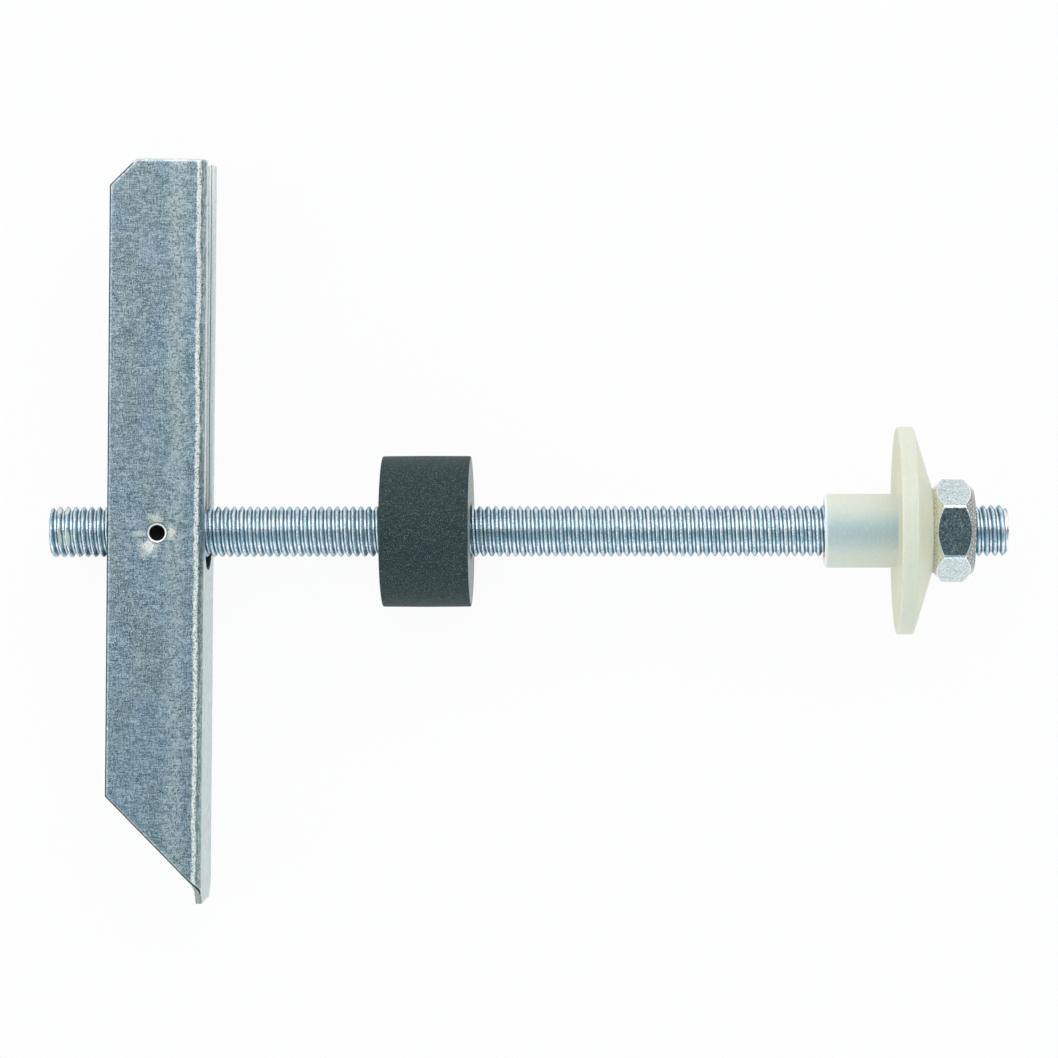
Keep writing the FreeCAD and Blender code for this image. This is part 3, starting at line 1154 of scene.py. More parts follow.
@dataclass(frozen=True)
class ThreadForm:
    """The thread that the rod and the hex nut share, rolled, so with rounded crests and roots."""

    pitch: float = 1.5
    crest_radius: float = 4.79
    root_radius: float = 3.97
    crest_round: tuple[FlatPoint, ...] = (
        (0.0, 0.0),
        (0.09, 0.018),
        (0.18, 0.070),
        (0.26, 0.150),
        (0.33, 0.245),
    )
    root_lift: float = 0.06
    root_step: float = 0.05
    root_step_lift: float = 0.012
    flank_deg: float = 30.0

    def half_profile(self) -> tuple[np.ndarray, np.ndarray]:
        """One side of a crest.

        Returns:
            Distances from its middle along the rod, and the radii there.
        """
        away = [place for place, _ in self.crest_round]
        radii = [self.crest_radius - drop for _, drop in self.crest_round]
        flank_end = self.root_radius + self.root_lift
        reach = (radii[-1] - flank_end) * math.tan(math.radians(self.flank_deg))
        away += [away[-1] + reach, away[-1] + reach + self.root_step, self.pitch / 2]
        radii += [flank_end, self.root_radius + self.root_step_lift, self.root_radius]
        return np.array(away), np.array(radii)

    def radius(self, x: np.ndarray, turn: np.ndarray) -> np.ndarray:
        """The thread's radius.

        Args:
            x: places along the rod.
            turn: angles about it.

        Returns:
            The radius at each.
        """
        phase = x / self.pitch - turn / (2 * math.pi)
        away = np.abs((phase + 0.5) % 1.0 - 0.5) * self.pitch
        return np.interp(away, *self.half_profile())

    def helix(
        self, low: float, high: float, turns_each: np.ndarray
    ) -> tuple[np.ndarray, np.ndarray]:
        """Grid places that follow the thread's crests and roots.

        Args:
            low: where the thread starts along the rod.
            high: where it ends.
            turns_each: the angles of one turn, from 0 up to a full turn.

        Returns:
            Places along the rod, held between low and high, and angles: one row for each step
            along the helix, and one column for each point across one pitch.
        """
        away = self.half_profile()[0]
        across = np.concatenate([-away[:0:-1], away])
        first = math.floor(low / self.pitch) - 1
        last = math.ceil(high / self.pitch) + 1
        turn = np.concatenate([turns_each + 2 * math.pi * k for k in range(first, last + 1)])
        middle = turn * self.pitch / (2 * math.pi)
        x = np.clip(middle[:, None] + across[None, :], low, high)
        return x, np.broadcast_to(turn[:, None], x.shape)


THREAD = ThreadForm()


@dataclass(frozen=True)
class StakeMark:
    """A place where the thread was pressed flat so that the toggle can't run off."""

    turn_deg: float
    half_turn_deg: float
    from_end: float
    half_length: float
    radius: float

    def pressed(self, from_end: np.ndarray, turn: np.ndarray) -> np.ndarray:
        """How far each place is inside the mark.

        Args:
            from_end: places along the rod, from its staked end.
            turn: angles about it.

        Returns:
            Shares from 0 to 1.
        """
        off = (np.degrees(turn) - self.turn_deg + 180) % 360 - 180
        u = np.clip(np.abs(off) / self.half_turn_deg, 0, 1)
        v = np.clip(np.abs(from_end - self.from_end) / self.half_length, 0, 1)
        return (1 - u**4) * (1 - v**4)


@dataclass
class ThreadedRod:
    """The rod with its rolled thread, chamfered at its open end and staked at the other."""

    chamfer: float = 0.9
    hidden_chamfer: float = 0.35
    segments: int = 48
    burr_reach: float = 0.28
    burr_length: float = 1.2
    burr_turn_deg: float = 205.0
    end_rings: tuple[float, ...] = (1.0, 0.8, 0.5, 0.2)
    pressed_rise: float = 2.5
    sharp_deg: float = 50.0
    stakes: tuple[StakeMark, ...] = (
        StakeMark(106.0, 20.0, 3.2, 1.7, 4.34),
        StakeMark(22.0, 22.0, 2.8, 1.6, 4.46),
        StakeMark(228.0, 24.0, 3.0, 1.7, 4.40),
    )

    def build(self, finish: Material) -> Piece:
        """Build the rod.

        Args:
            finish: its material.

        Returns:
            The rod.
        """
        low, high = ROD_LOW.x, ROD_HIGH.x
        steps = full_turn(self.segments)
        x, turn = THREAD.helix(low, high, steps)
        radius = THREAD.radius(x, turn)
        crest = THREAD.crest_radius
        radius = np.minimum(radius, crest - self.chamfer + (high - x))
        radius = np.minimum(radius, crest - self.hidden_chamfer + (x - low))
        pressed = np.zeros_like(radius)
        for stake in self.stakes:
            share = stake.pressed(x - low, turn)
            limit = crest - (crest - stake.radius) * share
            flattened = np.clip(self.pressed_rise * share, 0, 1)
            pressed = np.maximum(pressed, np.where(radius > limit, flattened, 0))
            radius = np.minimum(radius, limit)
        x = x - self.burr(x - low, turn)
        draft = MeshDraft()
        depth = (crest - radius) / (crest - THREAD.root_radius)
        numbers = draft.add_points(
            round_trip(x, radius, turn), pressed=pressed.ravel(), thread_depth=depth.ravel()
        )
        draft.add_grid(numbers.reshape(x.shape).T, closed=False)
        for end, order in ((low, 1), (high, -1)):
            self.close_end(draft, end, steps, order)
        return draft.build("threaded_rod_dressed", [finish], self.sharp_deg)

    def burr(self, from_end: np.ndarray, turn: np.ndarray) -> np.ndarray:
        """How far the cropped end is dragged out past the rod's end, on one side."""
        side = np.clip(np.cos(turn - math.radians(self.burr_turn_deg)), 0, 1) ** 2
        return self.burr_reach * side * np.clip(1 - from_end / self.burr_length, 0, 1)

    def close_end(self, draft: MeshDraft, end: float, steps: np.ndarray, order: int) -> None:
        """Close one end with rings towards the axis.

        Args:
            draft: the rod's draft.
            end: where the end is along the rod.
            steps: the angles of one turn.
            order: 1 for the low end and -1 for the high one.
        """
        crest = THREAD.crest_radius
        limit = crest - (self.hidden_chamfer if order > 0 else self.chamfer)
        rim = np.minimum(THREAD.radius(np.full_like(steps, end), steps), limit)
        dragged = self.burr(np.zeros_like(steps), steps) if order > 0 else np.zeros_like(steps)
        rings = [
            draft.add_points(round_trip(end - dragged * share, rim * share, steps))
            for share in self.end_rings
        ]
        draft.add_grid(np.array(rings)[::order])
        draft.add_face(tuple(rings[-1][::-order]))


@dataclass
class HexNutShape:
    """A cold-pressed hex nut, two flats level, chamfered at both faces."""

    node: str
    name: str
    across_flats: float = 17.0
    corner_round: float = 1.05
    face_radius: float = 7.65
    chamfer_deg: float = 45.0
    sink: float = 0.5
    bore_radius: float = 4.95
    minor_radius: float = 4.28
    thread_gap: float = 0.05
    edge_round: float = 0.3
    round_steps: int = 3
    side_steps: int = 9
    sharp_deg: float = 20.0
    threaded: bool = True
    # The first two marks pick the chamfer facing the washer and the other chamfer for painted
    # reflections; edge picks the rounds beside the flats for painted highlights.
    marked_bands: dict[str, tuple[int, ...]] = field(
        default_factory=lambda: {"pressed": (4, 5), "worn": (12, 13), "edge": (6, 7, 10, 11)}
    )

    def flat_end(self) -> float:
        """How far a flat reaches to each side of its middle before its corner, in degrees."""
        half = self.across_flats / 2
        return math.degrees(math.atan((half - self.corner_round) * math.tan(math.pi / 6) / half))

    def turns(self) -> np.ndarray:
        """The angles of one turn, close together at the corners between the flats.

        Returns:
            The angles in radians.
        """
        end = self.flat_end()
        flat = list(np.linspace(-end, end, self.side_steps))
        corner = list(np.linspace(end, 60 - end, self.side_steps))[1:-1]
        angles = sorted((30 + 60 * k + a) % 360 for k in range(6) for a in flat + corner)
        return np.radians(np.array(angles))

    def outline(self, turn: np.ndarray) -> np.ndarray:
        """The nut's outline: flats with rounded corners between them.

        Args:
            turn: angles about the rod.

        Returns:
            The radius at each.
        """
        off = np.abs(np.degrees(turn) % 60 - 30)
        half, soft = self.across_flats / 2, self.corner_round
        flat = half / np.cos(np.radians(off))
        centre = (half - soft) / math.cos(math.pi / 6)
        from_corner = np.radians(30 - off)
        reach = soft * soft - (centre * np.sin(from_corner)) ** 2
        rounded = centre * np.cos(from_corner) + np.sqrt(np.maximum(reach, 0))
        return np.where(off <= self.flat_end() + ROUNDING_DEG, flat, rounded)

    def build(self, finish: Material) -> Piece:
        """Build the nut.

        Args:
            finish: its material.

        Returns:
            The nut.
        """
        low, high = (corner.x for corner in span(self.node))
        turns = self.turns()
        reach = self.outline(turns)
        slope = math.tan(math.radians(self.chamfer_deg))
        mouth = (THREAD.crest_radius if self.threaded else self.bore_radius) + self.sink
        columns = []
        for limit in reach:
            drop = (limit - self.face_radius) * slope
            corners = [
                (low, mouth),
                (low, self.face_radius),
                (low + drop, limit),
                (high - drop, limit),
                (high, self.face_radius),
                (high, mouth),
            ]
            radii = [0, *[self.edge_round] * 4, 0]
            columns.append(filleted(corners, radii, self.round_steps))
        profile = np.array(columns)
        draft = MeshDraft()
        rings = []
        for k in range(profile.shape[1]):
            on = {mark: float(k in bands) for mark, bands in self.marked_bands.items()}
            marks = {mark: np.full(len(turns), value) for mark, value in on.items()}
            place = round_trip(profile[:, k, 0], profile[:, k, 1], turns)
            rings.append(draft.add_points(place, **marks))
        draft.add_grid(np.array(rings))
        self.add_bore(draft, low, high, mouth, turns)
        return draft.build(self.name, [finish], self.sharp_deg)

    def add_bore(
        self, draft: MeshDraft, low: float, high: float, mouth: float, turns: np.ndarray
    ) -> None:
        """Add the bore, sunk at both faces, with its thread if it has one.

        Args:
            draft: the nut's draft.
            low: the first face along the rod.
            high: the second face.
            mouth: the radius of the sunk mouths.
            turns: the angles of one turn.
        """
        if not self.threaded:
            rings = [(low, mouth), (low + self.sink, self.bore_radius)]
            rings += [(high - self.sink, self.bore_radius), (high, mouth)]
            numbers = [draft.add_points(round_trip(x, r, turns)) for x, r in rings]
            draft.add_grid(np.array(numbers)[::-1])
            return
        x, turn = THREAD.helix(low, high, turns)
        radius = np.maximum(THREAD.radius(x, turn) + self.thread_gap, self.minor_radius)
        radius = np.maximum(radius, mouth - np.minimum(x - low, high - x))
        numbers = draft.add_points(round_trip(x, radius, turn)).reshape(x.shape)
        draft.add_grid(numbers.T[::-1], closed=False)


@dataclass
class TrunnionNut:
    """The nut inside the toggle, drilled in two opposite flats for the toggle's pierced collars."""

    hole_radius: float = 2.15
    hole_floor: float = 6.5
    drill_point_deg: float = 118.0
    drill_tip: float = 0.01
    drill_over: float = 1.0
    found_within: float = 0.05
    segments: int = 40

    def build(self, finish: Material, drilled: Material) -> Piece:
        """Build the nut and drill it.

        Args:
            finish: its material.
            drilled: the finish inside its drilled holes.

        Returns:
            The nut.
        """
        blank = HexNutShape("trunnion_nut", "trunnion_nut_dressed", threaded=False)
        piece = blank.build(finish)
        cutters = [self.drill(blank.across_flats, side) for side in (1, -1)]
        for cutter in cutters:
            cut = piece.modifiers.new("drilled", "BOOLEAN")
            cut.object, cut.operation, cut.solver = cutter, "DIFFERENCE", "EXACT"
            piece.modifiers.move(len(piece.modifiers) - 1, 0)
        solid = piece.evaluated_get(bpy.context.evaluated_depsgraph_get())
        piece.data = bpy.data.meshes.new_from_object(solid)
        for modifier in [m for m in piece.modifiers if m.type == "BOOLEAN"]:
            piece.modifiers.remove(modifier)
        for cutter in cutters:
            bpy.data.objects.remove(cutter)
        piece.data.materials.append(drilled)
        pivot = joint_place("toggle_pivot")
        for face in piece.data.polygons:
            off = face.center / MM - pivot
            inside = abs(off.z) < blank.across_flats / 2 - self.found_within
            if inside and math.hypot(off.x, off.y) < self.hole_radius + self.found_within:
                face.material_index = 1
        return piece

    def drill(self, across_flats: float, side: int) -> Piece:
        """The shape that the drill takes from one flat.

        Args:
            across_flats: the nut's size.
            side: 1 for the upper flat and -1 for the lower one.

        Returns:
            The cutting piece.
        """
        pivot = joint_place("toggle_pivot")
        point = self.hole_radius / math.tan(math.radians(self.drill_point_deg / 2))
        draft = MeshDraft()
        turns = full_turn(self.segments)
        rings = []
        for height, radius in (
            (across_flats / 2 + self.drill_over, self.hole_radius),
            (self.hole_floor, self.hole_radius),
            (self.hole_floor - point, self.drill_tip),
        ):
            x = pivot.x + radius * np.cos(turns)
            y = pivot.y + radius * np.sin(turns)
            z = np.full(self.segments, AXIS_HEIGHT + side * height)
            rings.append(draft.add_points(np.stack([x, y, z], axis=-1)))
        draft.add_grid(np.array(rings))
        draft.add_face(tuple(rings[0][::-1]))
        draft.add_face(tuple(rings[-1]))
        piece = draft.build("drill", [])
        piece.modifiers.clear()
        return piece


@dataclass
class RubberSleeve:
    """The plain sleeve, cut from moulded tube."""

    bore_radius: float = 4.95
    edge_round: float = 0.3
    bore_round: float = 0.35
    bulge: float = 0.05
    round_steps: int = 4
    segments: int = 160
    sharp_deg: float = 35.0

    def build(self, outside: Material, cut_end: Material) -> Piece:
        """Build the sleeve.

        Args:
            outside: the finish of its outside and bore.
            cut_end: the finish of its cut ends.

        Returns:
            The sleeve.
        """
        first, last = span("rubber_sleeve")
        low, high, radius = first.x, last.x, (last.y - first.y) / 2
        middle = (low + high) / 2
        corners = [
            (low, self.bore_radius),
            (low, radius),
            (middle, radius + self.bulge),
            (high, radius),
            (high, self.bore_radius),
        ]
        radii = [self.bore_round, self.edge_round, 0, self.edge_round, self.bore_round]
        profile = filleted(corners, radii, self.round_steps)
        level = np.abs(profile[:, 0] - np.roll(profile[:, 0], -1)) < TINY
        draft = turned_piece(profile, self.segments, [int(flat) for flat in level])
        return draft.build("rubber_sleeve_dressed", [outside, cut_end], self.sharp_deg)


@dataclass
class CollarWasher:
    """The moulded washer: its boss, its flange and the coned front of the flange."""

    boss_radius: float = 6.95
    boss_length: float = 13.6
    bore_radius: float = 5.25
    flange_rim: float = 3.0
    seat_radius: float = 8.6
    tip_round: float = 0.8
    inner_round: float = 0.3
    rim_round: float = 0.28
    seat_round: float = 0.35
    mouth_round: float = 0.25
    round_steps: int = 5
    segments: int = 192
    sharp_deg: float = 50.0

    def build(self, finish: Material, back: Material) -> Piece:
        """Build the washer.

        Args:
            finish: its material.
            back: the finish of its flange's flat back, a darker copy of the nylon as painted shade.

        Returns:
            The washer.
        """
        low, high = span("collar_washer")
        flange_radius = (high.y - low.y) / 2
        face = low.x + self.boss_length
        corners = [
            (low.x, self.bore_radius),
            (low.x, self.boss_radius),
            (face, self.boss_radius),
            (face, flange_radius),
            (face + self.flange_rim, flange_radius),
            (high.x, self.seat_radius),
            (high.x, self.bore_radius),
        ]
        radii = [
            self.mouth_round,
            self.tip_round,
            self.inner_round,
            self.rim_round,
            self.rim_round,
            self.seat_round,
            self.mouth_round,
        ]
        profile = filleted(corners, radii, self.round_steps)
        on_back = np.abs(profile[:, 0] - face) < TINY
        finishes = [int(a and b) for a, b in zip(on_back, np.roll(on_back, -1))]
        draft = turned_piece(profile, self.segments, finishes)
        return draft.build("collar_washer_dressed", [finish, back], self.sharp_deg)


def inset(outline: list[FlatPoint], distance: float) -> list[FlatPoint]:
    """Move an outline inwards.

    Args:
        outline: its corners, anticlockwise.
        distance: how far each side moves.

    Returns:
        The moved corners.
    """
    moved = []
    for before, here, after in zip(outline[-1:] + outline[:-1], outline, outline[1:] + outline[:1]):
        first = (Vector(here) - Vector(before)).normalized()
        second = (Vector(after) - Vector(here)).normalized()
        inward = Vector((-first.y, first.x)) + Vector((-second.y, second.x))
        inward /= 1 + first.dot(second)
        moved.append(tuple(Vector(here) + inward * distance))
    return moved


@dataclass(frozen=True)
class LaidBlank:
    """The blank's points, and their numbers on the folded sheet's outer and inner face."""

    draft: MeshDraft
    flat: np.ndarray
    outer: np.ndarray
    inner: np.ndarray


@dataclass
class ToggleChannel:
    """The folded toggle. Its blank is laid out flat, cut, and then folded into the channel.

    On the blank, s runs across the sheet from the middle of the web and y along the toggle.
    """

    length: float = 139.5
    width: float = 20.0
    depth: float = 18.0
    sheet: float = 1.25
    inside_bend: float = 0.95
    web_from_pivot: float = 8.6
    long_corner_cut: float = 20.3
    short_corner_cut: float = 5.0
    slot_width: float = 12.0
    slot_past_rod: float = 6.95
    pierced_bore: float = 1.4
    pierced_wall: float = 0.7
    pierced_length: float = 1.75
    pierced_ring: float = 2.9
    rollover: float = 0.6
    rollover_drop: float = 0.36
    rollover_deg: tuple[float, ...] = (36, 52, 66, 79, 90)
    cut_shares: tuple[float, ...] = (0.2, 0.5, 0.8)
    burr_round: float = 0.06
    widest_mitre: float = 0.3
    burr_bevel: float = 0.3
    collar_rounds: tuple[float, ...] = (0, 0.42, 0.1, 0.18, 0.3, 0)
    round_steps: int = 4
    bend_steps: int = 8
    slot_steps: int = 28
    ring_steps: int = 40
    cell: float = 2.2
    leg_margin: float = 0.5
    web_margin: float = 0.4
    cut_reach: float = 1e-4
    ring_reach: float = 0.02
    sharp_deg: float = 42.0
    waviness: float = 0.035
    soft_wave: Stretch = (17, 23, 3.1)
    fine_wave: Stretch = (5, 6, 7.7)
    fine_share: float = 0.25
    wave_past_bend: float = 2.4

    def __post_init__(self) -> None:
        """Work out the blank's sizes and where the toggle is."""
        self.pivot = joint_place("toggle_pivot")
        axis = mount_axis("toggle_web_face")
        self.lean = math.atan2(axis.y, axis.x)
        self.outside_bend = self.inside_bend + self.sheet
        self.bend_z = self.width / 2 - self.outside_bend
        self.bend_length = (self.inside_bend + self.sheet / 2) * math.pi / 2
        self.leg_length = self.depth - self.outside_bend
        self.leg_start = self.bend_z + self.bend_length
        self.half_blank = self.leg_start + self.leg_length
        self.hole_s = self.leg_start + self.web_from_pivot - self.outside_bend

    def outline(self) -> list[FlatPoint]:
        """The blank's outline, with its cut corners and its open slot.

        Returns:
            Its corners, anticlockwise.
        """
        s, y, half_slot = self.half_blank, self.length / 2, self.slot_width / 2
        long, short = self.long_corner_cut, self.short_corner_cut
        round_y = half_slot - self.slot_past_rod
        slot = [
            (half_slot * math.cos(a), round_y - half_slot * math.sin(a))
            for a in np.linspace(0, math.pi, self.slot_steps + 1)
        ]
        right = [(s - long, -y), (s, -y + long), (s, y - short), (s - short, y), (half_slot, y)]
        left = [(-a, b) for a, b in right[::-1]]
        return right + slot + left

    def ring(self, side: int) -> list[FlatPoint]:
        """The circle about one pierced pivot, where the flat of the leg ends.

        Args:
            side: 1 for the upper leg and -1 for the lower one.

        Returns:
            Its points on the blank.
        """
        centre, radius = side * self.hole_s, self.pierced_ring
        turns = full_turn(self.ring_steps)
        return [(centre + radius * math.cos(a), radius * math.sin(a)) for a in turns]

    def cut_lines(self) -> tuple[list[float], list[float]]:
        """Where the blank's faces are divided.

        Returns:
            Places across it, and places along it.
        """
        steps = range(self.bend_steps + 1)
        bends = [self.bend_z + self.bend_length * k / self.bend_steps for k in steps]
        leg_end, web_end = self.half_blank - self.leg_margin, self.bend_z - self.web_margin
        legs = list(np.arange(self.leg_start + self.cell, leg_end, self.cell))
        web = list(np.arange(self.cell / 2, web_end, self.cell))
        across = [side * s for s in bends + legs + web for side in (1, -1)]
        count = round(self.length / self.cell)
        along = [self.length * (k / count - 0.5) for k in range(1, count)]
        return across, along

    def blank(self) -> tuple[np.ndarray, list[tuple[int, ...]], list[Edge]]:
        """Lay out the flat of the blank, up to where its edges start to round.

        Returns:
            Its points, its faces, and its open edges with the blank on their left.
        """
        loops = [inset(self.outline(), self.rollover), self.ring(1), self.ring(-1)]
        corners = [Vector((*p, 0)) for loop in loops for p in loop]
        faces = tessellate_polygon([[Vector((*p, 0)) for p in loop] for loop in loops])
        draft = bmesh.new()
        points = [draft.verts.new(c) for c in corners]
        for face in faces:
            draft.faces.new([points[k] for k in face])
        bmesh.ops.recalc_face_normals(draft, faces=draft.faces)
        across, along = self.cut_lines()
        planes = [((s, 0, 0), (1, 0, 0)) for s in across]
        planes += [((0, y, 0), (0, 1, 0)) for y in along]
        for place, normal in planes:
            everything = draft.verts[:] + draft.edges[:] + draft.faces[:]
            bmesh.ops.bisect_plane(
                draft, geom=everything, dist=self.cut_reach, plane_co=place, plane_no=normal
            )
        for face in draft.faces:
            if face.normal.z < 0:
                face.normal_flip()
        draft.verts.index_update()
        flat = np.array([v.co[:] for v in draft.verts])
        found = [tuple(v.index for v in f.verts) for f in draft.faces]
        open_edges = []
        for edge in draft.edges:
            if edge.is_boundary:
                loop = edge.link_loops[0]
                open_edges.append((loop.vert.index, loop.link_loop_next.vert.index))
        draft.free()
        return flat, found, open_edges

    def fold(self, s: np.ndarray, y: np.ndarray, w: np.ndarray) -> np.ndarray:
        """Fold points of the blank into the channel, in the part's frame.

        Args:
            s: places across the blank.
            y: places along it.
            w: heights over its inner face.

        Returns:
            Rows of x, y and z.
        """
        side, reach = np.sign(s), np.abs(s)
        bend_x = self.web_from_pivot - self.outside_bend
        angle = np.clip((reach - self.bend_z) / self.bend_length, 0, 1) * math.pi / 2
        radius = self.inside_bend + w
        x = bend_x + radius * np.cos(angle) - np.clip(reach - self.leg_start, 0, None)
        z = side * (np.minimum(reach, self.bend_z) + radius * np.sin(angle))
        cos, sin = math.cos(self.lean), math.sin(self.lean)
        turned = (x * cos - y * sin, x * sin + y * cos, z)
        return np.stack([home + off for home, off in zip(self.pivot, turned)], axis=-1)

    def wave(self, s: np.ndarray, y: np.ndarray) -> np.ndarray:
        """The slight unevenness of the rolled and folded sheet, most of it at the bends.

        Args:
            s: places across the blank.
            y: places along it.

        Returns:
            How far it lifts each place.
        """
        soft, fine = (
            np.array([noise.noise(Vector((a / across, b / along, seed))) for a, b in zip(s, y)])
            for across, along, seed in (self.soft_wave, self.fine_wave)
        )
        near_bend = np.exp(-(((np.abs(s) - self.leg_start) / self.wave_past_bend) ** 2))
        return self.waviness * (soft + fine * (self.fine_share + near_bend))

    def build(self, skin: Material, edge: Material) -> Piece:
        """Build the channel.

        Args:
            skin: the finish of the sheet's faces.
            edge: the finish of its cut edges.

        Returns:
            The toggle.
        """
        flat, faces, open_edges = self.blank()
        draft = MeshDraft()
        s, y = flat[:, 0], flat[:, 1]
        outer = self.lay(draft, s, y, np.full(len(s), self.sheet))
        inner = self.lay(draft, s, y, np.zeros(len(s)))
        for face in faces:
            draft.add_face(tuple(outer[k] for k in face))
            draft.add_face(tuple(inner[k] for k in reversed(face)))
        at_ring = np.hypot(np.abs(s) - self.hole_s, y) < self.pierced_ring + self.ring_reach
        rim_edges = [e for e in open_edges if not (at_ring[e[0]] and at_ring[e[1]])]
        ring_edges = [e for e in open_edges if at_ring[e[0]] and at_ring[e[1]]]
        laid = LaidBlank(draft, flat, outer, inner)
        self.add_rim(laid, rim_edges)
        self.add_collars(laid, ring_edges)
        return draft.build("toggle_channel_dressed", [skin, edge], self.sharp_deg)

    def lay(self, draft: MeshDraft, s: np.ndarray, y: np.ndarray, w: np.ndarray) -> np.ndarray:
        """Add points of the blank, folded, with the marks that its finish reads."""
        return draft.add_points(
            self.fold(s, y, w + self.wave(s, y)),
            across_sheet=w / self.sheet,
            from_bend=np.abs(s) - self.leg_start,
            along=y,
        )

    def add_rim(self, laid: LaidBlank, edges: list[Edge]) -> None:
        """Add the sheared edges: rolled over outside, with a small burr round inside.

        Args:
            laid: the laid blank.
            edges: its open edges, with the blank on their left.
        """
        after = {a: b for a, b in edges}
        before = {b: a for a, b in edges}
        members = sorted(after)
        outward = []
        for k in members:
            first = Vector(laid.flat[k][:2] - laid.flat[before[k]][:2]).normalized()
            second = Vector(laid.flat[after[k]][:2] - laid.flat[k][:2]).normalized()
            out = Vector((first.y, -first.x)) + Vector((second.y, -second.x))
            outward.append(tuple(out / max(1 + first.dot(second), self.widest_mitre)))
        r, drop, burr, sheet = self.rollover, self.rollover_drop, self.burr_round, self.sheet
        turns = np.radians(self.rollover_deg)
        rolled = [(r * math.sin(t), sheet - drop * (1 - math.cos(t))) for t in turns]
        high = sheet - drop
        cut = [(r, high - share * (high - 2 * burr)) for share in self.cut_shares]
        bevel = self.burr_bevel * burr
        burred = [(r, burr), (r - bevel, bevel), (r - burr, 0.0)]
        where = laid.flat[members][:, :2]
        rows = [(where + np.array(outward) * reach, w) for reach, w in rolled + cut + burred]
        finishes = [0, *[1] * (len(rows) - 2), 0, 0]
        self.hem(laid, members, edges, rows, finishes)

    def add_collars(self, laid: LaidBlank, edges: list[Edge]) -> None:
        """Add the two pierced collars, from the outer face through the bore to the inner face.

        Args:
            laid: the laid blank.
            edges: its open edges round the two pivots.
        """
        bore, end = self.pierced_bore, -self.pierced_length
        outside = bore + self.pierced_wall
        corners = [
            (self.pierced_ring, self.sheet),
            (bore, self.sheet),
            (bore, end),
            (outside, end),
            (outside, 0.0),
            (self.pierced_ring, 0.0),
        ]
        profile = filleted(corners, list(self.collar_rounds), self.round_steps)[1:-1]
        for side in (1, -1):
            own = [e for e in edges if laid.flat[e[0]][0] * side > 0]
            centre = np.array([side * self.hole_s, 0.0])
            members = sorted({k for e in own for k in e})
            away = laid.flat[members][:, :2] - centre
            away /= np.linalg.norm(away, axis=1)[:, None]
            rows = [(centre + away * radius, w) for radius, w in profile]
            self.hem(laid, members, own, rows, [0] * (len(rows) + 1))

    def hem(
        self,
        laid: LaidBlank,
        members: list[int],
        edges: list[Edge],
        rows: list[tuple[np.ndarray, float]],
        finishes: list[int],
    ) -> None:
        """Join the outer face to the inner one along open edges, by rows of new points.

        Args:
            laid: the laid blank.
            members: its points on those edges.
            edges: the edges, as pairs of those points.
            rows: each row's places on the blank, and its height over the inner face.
            finishes: the material of each band from the outer face to the inner one.
        """
        bands = [laid.outer[members]]
        for place, w in rows:
            bands.append(self.lay(laid.draft, place[:, 0], place[:, 1], np.full(len(place), w)))
        bands.append(laid.inner[members])
        columns = dict(zip(members, np.array(bands).T))
        for a, b in edges:
            first, second = columns[a], columns[b]
            for band, finish in enumerate(finishes):
                corners = (first[band], first[band + 1], second[band + 1], second[band])
                laid.draft.add_face(corners, finish)


@dataclass(frozen=True)
class SoftBox:
    """A patch of the studio's dome, between two places on each axis of the direction."""

    colour: Colour
    x: FlatPoint = (-1.2, 1.2)
    y: FlatPoint = (-1.2, 1.2)
    z: FlatPoint = (-1.2, 1.2)
    soft: float = 0.05


